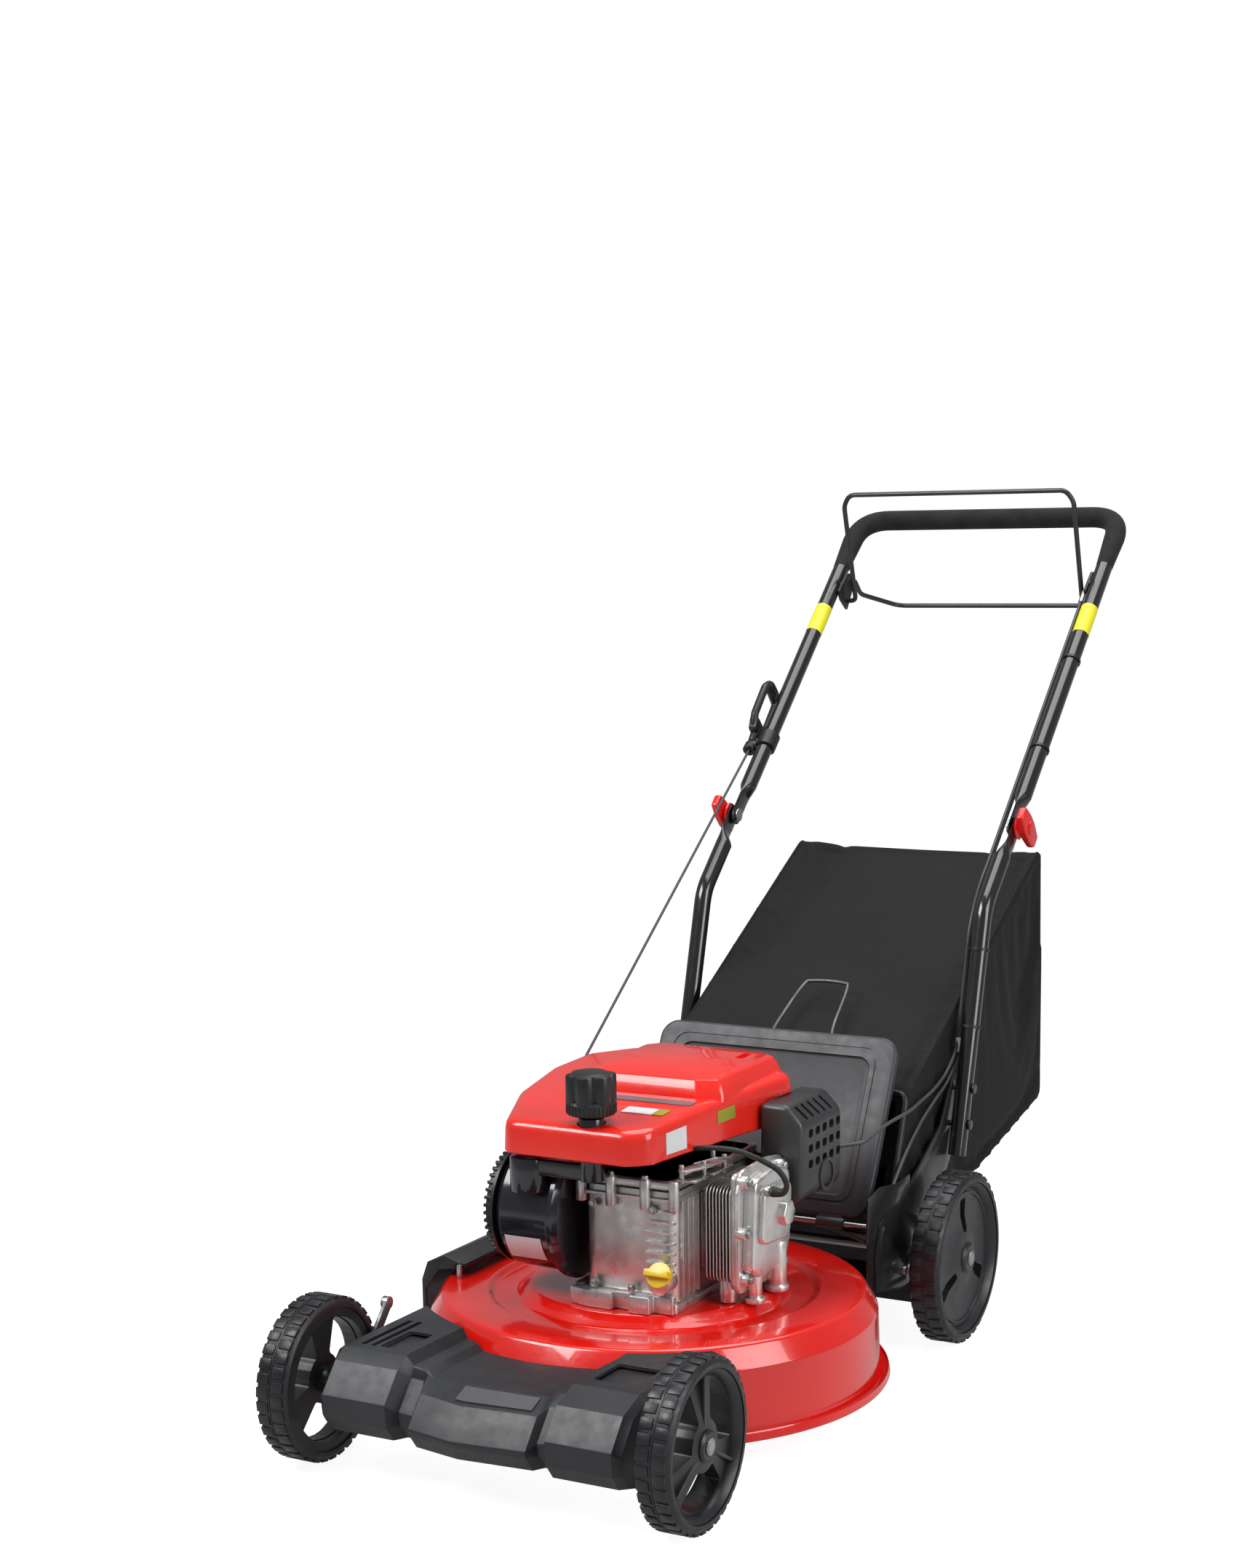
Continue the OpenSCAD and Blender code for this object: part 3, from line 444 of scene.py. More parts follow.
def prism(outline, plane, lo, hi, bevel=0.0, segments=3, angle=25):
    """An outline in a plane, drawn out along the third axis, with rounded edges."""
    bm = bmesh.new()
    first, second, along = AXES[plane]
    rings = []
    for level in (lo, hi):
        ring = []
        for p in outline:
            place = [0.0, 0.0, 0.0]
            place[first], place[second], place[along] = p[0], p[1], level
            ring.append(bm.verts.new(place))
        rings.append(ring)
    bm.faces.new(rings[0])
    bm.faces.new(rings[1])
    for i in range(len(outline)):
        j = (i + 1) % len(outline)
        bm.faces.new((rings[0][i], rings[0][j], rings[1][j], rings[1][i]))
    bmesh.ops.recalc_face_normals(bm, faces=bm.faces)
    bevel_edges(bm, bevel, angle, segments)
    return bm


def block(low, high, bevel=0.0, segments=2):
    """A box between two corners, with rounded edges."""
    outline = [(low[0], low[1]), (high[0], low[1]), (high[0], high[1]), (low[0], high[1])]
    return prism(outline, "xy", low[2], high[2], bevel, segments)


def arc(centre, radius, start, end, steps=6):
    """Points of an arc, angles in degrees."""
    turns = [math.radians(start + (end - start) * i / steps) for i in range(steps + 1)]
    return [(centre[0] + radius * math.cos(a), centre[1] + radius * math.sin(a)) for a in turns]


def round_box(x0, y0, x1, y1, r, steps=6):
    """A rectangle with round corners, as an outline."""
    corners = ((x1 - r, y1 - r), (x0 + r, y1 - r), (x0 + r, y0 + r), (x1 - r, y0 + r))
    return [p for k, centre in enumerate(corners) for p in arc(centre, r, 90 * k, 90 * k + 90, steps)]


def softened(points, radius, closed=True, steps=5, straight=0.05):
    """The outline or route with each corner made an arc of about radius. A bend under straight stays."""
    points = [Vector(p) for p in points]
    made = []
    count = len(points)
    for i, p in enumerate(points):
        if not closed and i in (0, count - 1):
            made.append(p)
            continue
        before, after = points[i - 1] - p, points[(i + 1) % count] - p
        bend = before.angle(after, math.pi)
        if math.pi - bend < straight:
            made.append(p)
            continue
        cut = min(radius / math.tan(bend / 2), before.length * 0.48, after.length * 0.48)
        a, b = p + before.normalized() * cut, p + after.normalized() * cut
        for k in range(steps + 1):
            t = k / steps
            made.append(a * (1 - t) ** 2 + p * 2 * t * (1 - t) + b * t ** 2)
    return made


def loft(bm, rings, caps=(0, -1)):
    """Faces from each ring of corners to the next, and over the rings named in caps."""
    for a, b in zip(rings, rings[1:]):
        for k in range(len(a)):
            j = (k + 1) % len(a)
            bm.faces.new((a[k], a[j], b[j], b[k]))
    for end in caps:
        bm.faces.new(rings[end])
    bmesh.ops.recalc_face_normals(bm, faces=bm.faces)


def lathe(profile, origin, axis="X", segments=96, closed=True):
    """A ring: profile points are (along the axis, radius)."""
    bm = bmesh.new()
    rings = []
    for k in range(segments):
        a = 2 * math.pi * k / segments
        rings.append([bm.verts.new(TURNS[axis] @ Vector((r * math.cos(a), r * math.sin(a), z)))
                      for z, r in profile])
    count = len(profile)
    for k in range(segments):
        here, there = rings[k], rings[(k + 1) % segments]
        for i in range(count if closed else count - 1):
            j = (i + 1) % count
            bm.faces.new((here[i], there[i], there[j], here[j]))
    bmesh.ops.remove_doubles(bm, verts=bm.verts, dist=1e-4)
    bmesh.ops.translate(bm, verts=bm.verts, vec=Vector(origin))
    bmesh.ops.recalc_face_normals(bm, faces=bm.faces)
    return bm


def disc(origin, axis, lo, hi, radius, bevel=0.8, segments=48):
    """A round solid along an axis, with rounded rims."""
    profile = [(lo, 0), (lo, radius - bevel), (lo + bevel * 0.3, radius - bevel * 0.3), (lo + bevel, radius),
               (hi - bevel, radius), (hi - bevel * 0.3, radius - bevel * 0.3), (hi, radius - bevel), (hi, 0)]
    return lathe(profile, origin, axis, segments, closed=False)


def tube(points, radius, sides=16, cap=True):
    """A round tube swept along points. radius is a number, or a function of the share along."""
    points = [Vector(p) for p in points]
    bm = bmesh.new()
    heading = (points[1] - points[0]).normalized()
    side = heading.orthogonal().normalized()
    rings = []
    for i, p in enumerate(points):
        ahead = (points[min(i + 1, len(points) - 1)] - points[max(i - 1, 0)]).normalized()
        side = heading.rotation_difference(ahead) @ side
        heading = ahead
        up = heading.cross(side)
        r = radius(i / (len(points) - 1)) if callable(radius) else radius
        rings.append([bm.verts.new(p + r * (math.cos(a) * side + math.sin(a) * up))
                      for a in (2 * math.pi * k / sides for k in range(sides))])
    loft(bm, rings, (0, -1) if cap else ())
    return bm


def spline(points, per_step=6):
    """A smooth route through points (Catmull-Rom)."""
    pts = [Vector(p) for p in points]
    pts = [pts[0] * 2 - pts[1]] + pts + [pts[-1] * 2 - pts[-2]]
    made = []
    for a, b, c, d in zip(pts, pts[1:], pts[2:], pts[3:]):
        for k in range(per_step):
            t = k / per_step
            made.append(0.5 * (2 * b + (c - a) * t + (2 * a - 5 * b + 4 * c - d) * t * t
                               + (3 * b - a - 3 * c + d) * t ** 3))
    return made + [pts[-2]]


def merged(*shapes):
    """Several shapes as one, each a bmesh or a (bmesh, matrix) pair."""
    bm = bmesh.new()
    for shape in shapes:
        part, matrix = shape if isinstance(shape, tuple) else (shape, None)
        if matrix is not None:
            part.transform(matrix)
        mesh = bpy.data.meshes.new("scratch")
        part.to_mesh(mesh)
        part.free()
        bm.from_mesh(mesh)
        bpy.data.meshes.remove(mesh)
    return bm


def mirrored(shape):
    """The shape's twin on the other side."""
    twin = shape.copy()
    bmesh.ops.scale(twin, verts=twin.verts, vec=(-1, 1, 1))
    bmesh.ops.reverse_faces(twin, faces=twin.faces)
    return twin


def sided(shape, side):
    return shape if side > 0 else mirrored(shape)


def both(shape):
    return merged(mirrored(shape), shape)


def ring_of(make, count, centre, axis, start=0.0):
    """Copies of a shape round an axis through centre."""
    shapes = []
    for k in range(count):
        turn = Matrix.Rotation(math.radians(start) + 2 * math.pi * k / count, 4, axis)
        shapes.append((make(k), Matrix.Translation(centre) @ turn @ Matrix.Translation(-Vector(centre))))
    return merged(*shapes)


def cut(shape, *cutters, crossing=False):
    """The shape less the cutters, by an exact boolean. crossing: the shape's own solids overlap."""
    objs = []
    for bm in (shape, *cutters):
        mesh = bpy.data.meshes.new("scratch")
        bm.to_mesh(mesh)
        bm.free()
        obj = bpy.data.objects.new("scratch", mesh)
        bpy.context.scene.collection.objects.link(obj)
        objs.append(obj)
    for other in objs[1:]:
        mod = objs[0].modifiers.new("cut", "BOOLEAN")
        mod.operation, mod.solver, mod.object = "DIFFERENCE", "EXACT", other
        mod.use_self = crossing
    graph = bpy.context.evaluated_depsgraph_get()
    bm = bmesh.new()
    bm.from_mesh(objs[0].evaluated_get(graph).to_mesh())
    for obj in objs:
        mesh = obj.data
        bpy.data.objects.remove(obj)
        bpy.data.meshes.remove(mesh)
    bmesh.ops.remove_doubles(bm, verts=bm.verts, dist=1e-4)
    bmesh.ops.dissolve_limit(bm, angle_limit=math.radians(0.3), verts=bm.verts, edges=bm.edges)
    return bm


def hex_bolts(places, axis, size, height):
    """Hexagon bolt heads on washers, standing along +axis from each place."""
    bolts = []
    for place in places:
        bolt = merged(prism(arc((0, 0), size, 0, 300, 5), "xy", 1.2, height, size * 0.12),
                      disc((0, 0, 0), "Z", 0, 1.4, size * 1.35, 0.4, 24))
        bolts.append((bolt, Matrix.Translation(place) @ TURNS[axis]))
    return merged(*bolts)


# ---- Deck and covers

def make_deck():
    """The pressed deck: rolled lip, raised ring round the engine and vent slots."""
    skin = 2.6
    outer = softened([(46, 300), (40, 302), (40, 292), (50, 290), (122, 288), (149, 272), (150, 250),
                      (149, 214), (143, 206), (142, 176), (149, 168), (156, 158), (156, 40)], 9, False)
    inner = [(p[0] - skin, p[1]) if p[0] > 126 else (p[0], p[1] - skin) for p in outer[::-1]]
    inner = [p for p in inner if p[0] > 50] + [(44, 288.6), (38.6, 290.6), (38.6, 303.2), (46.2, 301.4)]
    shell = lathe(outer + inner, CRANK, "Z", 224)
    cutters = [block((-175, 600, 50), (150, 740, 146)), block((-310, 312, 54), (-230, 458, 116)),
               block((-9, 376, 150), (9, 394, 160))]
    for a in (128, 150):
        slot = arc(CRANK, 196, a, a + 13, 8) + arc(CRANK, 183, a + 13, a, 8)
        cutters.append(prism(slot, "xy", 120, 170))
    fixed("deck_shell", cut(shell, *cutters), "red_deck", ("deck",), 28)
    rim = lathe([(38.6 + 3.4 * math.sin(a), 299.5 + 3.2 * math.cos(a)) for a in
                 (2 * math.pi * k / 12 for k in range(12))], CRANK, "Z", 200)
    fixed("deck_rolled_lip", rim, "red_deck")
    corners = [(x, y, 168.5) for y in (262, 494) for x in (-38, 92)]
    fixed("engine_bolts", hex_bolts(corners, "Z", 6.5, 6), "steel")


# Stations across the nose: x, the height of its top, and how far its front stands before the axle
NOSE_KEYS = ((-208, 150, 62), (-200, 156, 70), (-112, 156, 70), (-103, 144, 54), (-86, 142, 52),
             (-76, 135, 76), (-12, 134, 88), (84, 135, 80), (92, 142, 66), (106, 144, 66), (115, 156, 88),
             (200, 156, 88), (208, 150, 80))


def deck_front(x):
    """Where the nose meets the deck's ring."""
    return CRANK.y - math.sqrt(303 ** 2 - x ** 2)


def nose_profile(x, top, front):
    points = [(deck_front(x), top - 1), (-20, top), (-front + 30, top - 13), (-front, top - 48),
              (-front + 3, 80), (-front + 18, 61)]
    return [(x, *p) for p in softened(points, 5, closed=False, steps=3, straight=0)]


def make_nose():
    """The faceted front cover, lofted from block to block, with side walls round the axle."""
    bm = bmesh.new()
    stations = []
    for a, b in zip(NOSE_KEYS, NOSE_KEYS[1:]):
        count = max(2, int((b[0] - a[0]) / 6))
        stations += [Vector(a).lerp(Vector(b), k / count) for k in range(count)]
    stations.append(NOSE_KEYS[-1])
    rows = [[bm.verts.new(p) for p in nose_profile(*station)] for station in stations]
    for a, b in zip(rows, rows[1:]):
        for k in range(len(a) - 1):
            bm.faces.new((a[k], a[k + 1], b[k + 1], b[k]))
    for x, row in ((-208, rows[0]), (208, rows[-1])):
        skirt = ((-25, 50), (-25, 134), (92, 134), (92, 96), (deck_front(x), 96))
        bm.faces.new(row + [bm.verts.new((x, *p)) for p in skirt])
    bmesh.ops.recalc_face_normals(bm, faces=bm.faces)
    bmesh.ops.solidify(bm, geom=bm.faces[:], thickness=3)
    slots = [block((x, -8, 146), (x + 7, 96, 170), 1.5) for x in (-186, -172)]
    slots += [block((-160, -6, 150), (-126, 60, 170), 3), block((126, 4, 150), (182, 66, 170), 4)]
    fixed("nose_shell", cut(bm, *slots), "grey_plastic", ("nose_cover",), 24, "nose")
    fixed("nose_slot_floor", both(block((118, -12, 138), (190, 100, 149.5), 1)), "grey_plastic", look="nose")
    badge = bmesh.new()
    rows = []
    for x, (top, front) in ((-26, (134.3, 85.6)), (-12, (134.2, 88.2)), (74, (135, 81))):
        upper, lower = Vector((x, -20, top)), Vector((x, -front + 30, top - 13))
        rows.append([badge.verts.new(upper.lerp(lower, t)) for t in (0.16, 0.82)])
    for a, b in zip(rows, rows[1:]):
        badge.faces.new((a[0], b[0], b[1], a[1]))
    bmesh.ops.recalc_face_normals(badge, faces=badge.faces)
    bmesh.ops.solidify(badge, geom=badge.faces[:], thickness=-1.6)
    bmesh.ops.recalc_face_normals(badge, faces=badge.faces)
    fixed("blank_badge", badge, "grey_plastic", look="grey")


def make_rear_door():
    """The sloping door: a groove round its panel, and three hinge barrels."""
    hinge = (0, 648, 181)
    lift = Matrix.Translation(hinge) @ Matrix.Rotation(math.radians(63.2 - 90), 4, "X")
    slab = prism(round_box(-182, 9, 182, 262, 26, 8), "xz", -7, 7, 4, 4)
    panel = prism(round_box(-146, 36, 146, 232, 18, 8), "xz", -20, -3.2, 3, 3)
    groove = cut(prism(round_box(-158, 24, 158, 245, 22, 8), "xz", -14, -5.6),
                 prism(round_box(-153, 29, 153, 240, 20, 8), "xz", -28, 0))
    shapes = [(cut(slab, panel, groove), lift)]
    for x in (-150, -20, 110):
        shapes += [disc(hinge, "X", x, x + 40, 8.4, 1, 32),
                   (block((x + 2, -6, 2), (x + 38, 6, 26), 1.5), lift)]
    piece("door_shell", merged(*shapes), "rear_door", "grey_plastic", ("rear_door",))


def make_cheeks():
    """Plates that close the gap between the rear door and the handle brackets."""
    cheek = prism([(596, 172), (600, 232), (640, 240), (700, 232), (740, 236), (740, 222), (700, 200),
                   (655, 196), (636, 190), (625, 172)], "yz", 203.3, 206.2, 0.6)
    fixed("bracket_cheeks", both(cheek), "black_steel")


# ---- Engine

SHROUD_SLOPE = math.radians(3.4)
SHROUD_FRONT = 205


def shroud_outline():
    return softened([(-112, SHROUD_FRONT), (58, SHROUD_FRONT), (84, 226), (112, 420), (136, 522), (112, 545),
                     (60, 562), (-60, 590), (-130, 578), (-176, 530), (-186, 450), (-166, 330)], 26)


def skirt_point(p, z, grow):
    """A point of the shroud's wall: it leans out by grow and rises towards the back."""
    out = (p - Vector((-20, 400))).normalized() * (grow - 2)
    rise = (p.y - SHROUD_FRONT) * math.tan(SHROUD_SLOPE) * max(0, min(1, (z - 356) / 30))
    return p.x + out.x, p.y + out.y, z + rise


def make_shroud():
    """The gloss cover over the flywheel: sloping top with a raised plateau, straight front wall."""
    outline = shroud_outline()
    bm = bmesh.new()
    skirt = ((350, 0), (352, 2.2), (380, 0.6), (386, -1.0), (390, -4.6), (392.5, -10), (393.5, -18))
    loft(bm, [[bm.verts.new(skirt_point(p, z, grow)) for p in outline] for z, grow in skirt], (-1, 0))
    hump = softened([(-92, 376), (-60, 366), (70, 372), (100, 386), (106, 540), (84, 556), (-78, 556),
                     (-96, 536)], 12)
    rings = []
    for z, grow in ((396, 6), (406, 4), (418, -2), (424, -7), (426.5, -14)):
        ring = []
        for p in hump:
            out = (p - Vector((4, 462))).normalized() * grow
            ring.append(bm.verts.new((p.x + out.x, p.y + out.y, z + (p.y - 376) * 0.024)))
        rings.append(ring)
    loft(bm, rings, (-1, 0))
    hollow = prism([p + (Vector((-20, 400)) - p).normalized() * 6 for p in outline], "xy", 340, 384)
    bm = cut(bm, hollow, disc(NECK, "Z", 380, 420, 18, 0), block((60, 500, 418), (72, 530, 440), 3),
             block((121, 444, 340), (185, 570, 388)), crossing=True)
    fixed("shroud_shell", bm, "red_plastic", ("engine_shroud",), 30)


def make_fuel_cap():
    top = NECK + Vector((0, 0, 400))
    knob = lathe([(14, 0), (14, 20), (18, 25), (50, 26.5), (56, 24), (58.5, 18), (58.5, 0)], top, "Z", 60,
                 False)
    lobes = ring_of(lambda k: disc(top + Vector((0, 19, 0)), "Z", 16, 56, 12.5, 3, 24), 6, NECK, "Z", 8)
    skirt = lathe([(6, 17.5), (6, 29), (9, 30.5), (20, 30.5), (23, 28), (23, 17.5)], top, "Z", 72)
    grips = ring_of(lambda k: block((-1.1, 260.6, 408), (1.1, 262.4, 420), 0.4), 36, NECK, "Z")
    piece("fuel_cap_shape", merged(knob, lobes, skirt, grips), "fuel_cap", "black_plastic", ("fuel_cap",))


def make_tank_and_filter():
    """The round black tank beside the crankcase, its dark flange ring and the ribbed cleaner cover."""
    axis = (0, 300, 262)
    drum = lathe([(-142, 0), (-142, 60), (-141, 68), (-136, 74), (-130, 78), (-64, 79.5), (-60, 83),
                  (-58, 86.5), (-52, 86.5), (-50, 84), (-46, 80), (-45, 0)], axis, "X", 128, False)
    neck = merged(disc(NECK, "Z", 322, 401, 16, 1), disc((-90, 230, 0), "Z", 300, 344, 24, 2),
                  block((-90, 218, 322), (8, 244, 344), 4, 3))
    fixed("tank_drum", merged(drum, neck), "tank_plastic", ("fuel_tank",))
    cup = lathe([(-160.5, 0), (-160.5, 58), (-158, 66), (-155, 68), (-142.6, 68), (-142.6, 0)], axis, "X", 96,
                False)
    fins = ring_of(lambda k: block((-159, 297.8, 324), (-143, 302.2, 333), 1), 44, axis, "X")
    band = lathe([(-147, 66), (-147, 75), (-143, 75), (-143, 66)], axis, "X", 96)
    grille = ring_of(lambda k: block((-162, 298.6, 284), (-160, 301.4, 316), 0.6), 20, axis, "X", 4)
    fixed("cleaner_cover", merged(cup, fins, band, grille), "black_plastic", ("air_filter",))
    label = arc(axis[1:], 79.9, 196, 222, 14) + arc(axis[1:], 80.25, 222, 196, 14)
    fixed("blank_label_drum", prism(label, "yz", -124, -72), "cable_jacket", look="white")


def make_crankcase():
    """Die-cast case, its base flange with notches, and the bolts round its joint."""
    shapes = [prism(softened([(-44, 256), (100, 256), (100, 500), (-44, 500)], 9), "xy", 156, 168, 1.5, 2),
              prism(round_box(-32, 262, 96, 488, 18), "xy", 167, 322, 3, 3),
              prism(round_box(-40, 256, 100, 494, 14), "xy", 312, 322, 1.5, 2),
              prism(round_box(-38, 257, 99, 492, 14), "xy", 296, 301, 1.2, 2)]
    shapes += [block((58, 256, z), (98, 264, z + 3.4), 1.2) for z in range(204, 290, 13)]
    shapes += [block((95, y, 172), (101, y + 3, 296), 1.2) for y in range(276, 330, 14)]
    for x, y in ((-34, 262), (12, 255), (60, 255), (96, 262)):
        shapes.append(disc((x, y, 0), "Z", 286, 324, 7, 1.2, 24))
    flange = softened([(-44, 262), (-44, 246), (-20, 240), (18, 240), (20, 250), (40, 250), (42, 240),
                       (70, 240), (72, 252), (98, 252), (98, 262)], 3)
    shapes += [disc((84, 262, 198), "Y", -22, 4, 15, 1.5, 32), block((96, 330, 196), (110, 420, 296), 3, 2),
               disc(CRANK, "Z", 320, 342, 32, 2, 48), block((-48, 262, 156), (-36, 300, 178), 2),
               block((-46, 440, 156), (-30, 480, 182), 2), prism(flange, "xy", 156.5, 178, 1.6, 2)]
    fixed("crankcase_shape", merged(*shapes), "cast_alloy", ("crankcase",))
    top = [(-34, 262, 324), (12, 255, 324), (60, 255, 324)]
    front = [(-14, 255, 184), (40, 255, 184), (-14, 255, 286), (70, 255, 286)]
    fixed("case_bolts", merged(hex_bolts(top, "Z", 4.6, 5), hex_bolts(front, "-Y", 4.2, 5)), "steel")
    fixed("case_gasket", prism(round_box(-41, 255, 101, 495, 14), "xy", 310.4, 312), "rubber")


def make_cylinder():
    """Finned cylinder, valve cover with its bosses, spark plug and lead, and the columns down to the deck."""
    axis = (0, 375, 246)
    shapes = [disc(axis, "X", 110, 150, 41, 1, 48)]
    for x in (110.5 + 4.6 * k for k in range(8)):
        shapes.append(prism(round_box(317, 184, 437, 308, 12), "yz", x, x + 1.7, 0.5, 1))
    shapes.append(prism(round_box(320, 176, 438, 324, 9), "yz", 144, 150, 1.2, 2))
    shapes += [disc((133, y, 0), "Z", 158, 190, 11, 1.5, 24) for y in (334, 424)]
    fixed("cylinder_fins", merged(*shapes), "cast_alloy", ("engine_cylinder",))
    base = softened([(318, 172), (440, 170), (443, 324), (400, 330), (330, 328), (317, 300)], 12)
    middle = softened([(326, 200), (350, 186), (420, 196), (434, 222), (432, 312), (392, 322), (334, 314)],
                      16)
    boss = softened([(338, 232), (420, 226), (424, 300), (346, 304)], 16)
    cover = [prism(base, "yz", 150, 156, 1.5, 2), prism(middle, "yz", 155, 172, 4, 4),
             prism(boss, "yz", 171, 179, 3.4, 3)]
    corners = ((330, 190), (430, 190), (330, 314), (430, 314), (324, 250), (438, 250))
    cover += [disc((0, *p), "X", 150, 164, 8, 1.6, 24) for p in corners]
    cover.append(prism(arc((398, 262), 17, 0, 300, 5), "yz", 176, 188, 2))
    for y, top, radius, foot in ((348, 216, 9, 13), (410, 222, 13, 16)):
        cover += [disc((163, y, 0), "Z", 158, top, radius, 1.5 if radius < 10 else 2, 32),
                  disc((163, y, 0), "Z", 157, 164, foot, 1, 32)]
    fixed("valve_cover_shape", merged(*cover), "bright_alloy", ("valve_cover",))
    fixed("cover_bolts", hex_bolts([(164, *p) for p in corners], "X", 4.6, 5), "steel")
    plug = (0, 352, 300)
    plug = merged(disc(plug, "X", 176, 184, 7, 1, 24), disc(plug, "X", 180, 198, 5, 1, 24))
    fixed("spark_plug_body", plug, "steel")
    route = [(186, 352, 300), (200, 352, 301), (206, 350, 312), (198, 344, 330), (176, 336, 344)]
    boot = tube(spline(route, 8), lambda t: 7 - 3.4 * min(1, t * 2.4))
    lead = tube(spline([(176, 336, 344), (150, 326, 354), (118, 318, 356), (92, 316, 352)], 8), 3.4)
    fixed("plug_boot", merged(boot, lead), "rubber")


def make_governor():
    """Throttle linkage, springs and carburettor fittings between the case and the shroud."""
    routes = ([(102, 268, 330), (118, 300, 336), (118, 330, 330), (104, 350, 332)],
              [(104, 300, 338), (126, 318, 344), (130, 350, 338), (122, 372, 336)])
    shapes = [tube(softened(route, 8, False), 1.3) for route in routes]
    turns = [k * 0.5 for k in range(90)]
    coil = [(108 + 4 * math.cos(a), 292 + a * 1.1, 332 + 4 * math.sin(a)) for a in turns]
    lever = softened([(100, 262), (112, 258), (126, 292), (132, 340), (112, 344)], 6)
    shapes += [tube(coil, 0.9, 8), block((98, 262, 324), (126, 300, 327), 1),
               block((98, 300, 326), (132, 356, 329), 1), prism(lever, "xy", 336, 339, 0.8)]
    for place in ((104, 268, 0), (118, 300, 0), (126, 340, 0), (104, 352, 0)):
        shapes.append(disc(place, "Z", 320, 344, 3.4, 0.8, 20))
    fixed("governor_linkage", merged(*shapes), "steel")


def make_muffler_guard():
    """Guard with a chamfered corner, slanted slots, oblong holes and a pressed ring."""
    outside = [(122, 258), (170, 258), (182, 270), (182, 362), (160, 386), (122, 386)]
    inside = [(100, 262), (168, 262), (178, 272), (178, 360), (158, 382), (100, 382)]
    guard = prism(outside, "xz", 446, 568, 7, 4)
    cutters = [prism(inside, "xz", 450, 564, 4, 3)]
    slant = Matrix.Rotation(math.radians(45), 4, "Y") @ Matrix.Rotation(math.radians(18), 4, "Z")
    for k in range(5):
        slot = prism(round_box(-12, -3.2, 12, 3.2, 3), "xy", -14, 14)
        slot.transform(Matrix.Translation((171, 468 + k * 18, 374)) @ slant)
        cutters.append(slot)
    for y in range(466, 552, 21):
        for z in (342, 322, 302):
            cutters.append(prism(round_box(y, z, y + 13, z + 11, 4), "yz", 170, 190))
    ring = lathe([(-1, 17), (-1, 22), (2, 22), (2, 17)], (182, 520, 284), "X", 40)
    fixed("guard_shape", merged(cut(guard, *cutters), ring), "black_steel", ("muffler_guard",), look="guard")


# ---- Wheels

def make_tyre(end, word, side, centre, radius, bore):
    """A moulded tyre: round shoulders, a shallow centre rib and two staggered rows of wide blocks."""
    w, r = 44, radius
    profile = softened([(-w, bore), (-w, r - 8), (-w + 5, r - 2.2), (-w / 2, r - 1.3), (-5, r - 2.2),
                        (0, r - 8), (0, bore)], 5, closed=False, steps=4)
    x, y, z = centre
    count = 36
    shapes = [lathe(profile, centre, "X", 144)]
    for near, far, start in ((-w + 3.5, -w * 0.55, 0), (-w * 0.45, -3.5, 180 / count)):
        low, high = (x + near, y - 6.3, z + r - 5), (x + far, y + 6.3, z + r - 0.2)
        shapes.append(ring_of(lambda k: block(low, high, 0.9), count, centre, "X", start))
    inner, outer = -w * 0.52, -w * 0.48
    rib = lathe([(inner, r - 4), (inner, r - 0.7), (outer, r - 0.7), (outer, r - 4)], centre, "X", 120)
    piece(f"{end}_tread_{word}", sided(merged(*shapes, rib), side), f"{end}_wheel_{word}", "tyre",
          (f"{end}_tyre_{word}",))


def make_wheels():
    wheels = (("front", (277, 0, 101.5), 101.5, 88, front_rim), ("rear", (281, 774, 118), 118, 104, rear_rim))
    for side, word in SIDES:
        for end, centre, radius, bore, rim in wheels:
            make_tyre(end, word, side, centre, radius, bore)
        for end, centre, radius, bore, rim in wheels:
            wheel = f"{end}_wheel_{word}"
            piece(f"{end}_rim_{word}", sided(rim(centre), side), wheel, "wheel_plastic", (wheel,))


def spoke_window(inner, outer, half, centre):
    """A window between two spokes: a sector with round corners, half degrees each way."""
    a0, a1 = 90 - half, 90 + half
    points = arc((0, 0), outer, a0, a1, 8) + arc((0, 0), inner, a1 - 6, a0 + 6, 4)
    return around(centre, softened(points, 9))


def around(centre, points):
    """Points of an outline across X, moved to centre."""
    return [(centre[1] + p[0], centre[2] + p[1]) for p in points]


def front_rim(centre):
    """Three broad spokes with a raised rib each, a dished hub and a rim."""
    x = centre[0]
    rim = lathe([(-42, 76), (-42, 88.5), (-2, 88.5), (-1, 86), (-6, 80), (-14, 77), (-30, 76)], centre, "X",
                120)
    web = lathe([(-30, 15), (-30, 80), (-13, 80), (-10, 60), (-5, 24), (-3, 15)], centre, "X", 120)
    window = spoke_window(31, 75, 41, centre)
    windows = ring_of(lambda k: prism(window, "yz", x - 50, x + 5), 3, centre, "X", 60)
    hub = lathe([(-43, 6.5), (-43, 17), (-2, 19), (0.5, 16), (0.5, 6.5)], centre, "X", 60)
    rib = around(centre, [(-3.4, 15), (3.4, 15), (2.2, 80), (-2.2, 80)])
    ribs = ring_of(lambda k: prism(rib, "yz", x - 20, x - 4.6, 1.4), 3, centre, "X")
    return merged(rim, cut(web, windows), hub, ribs)


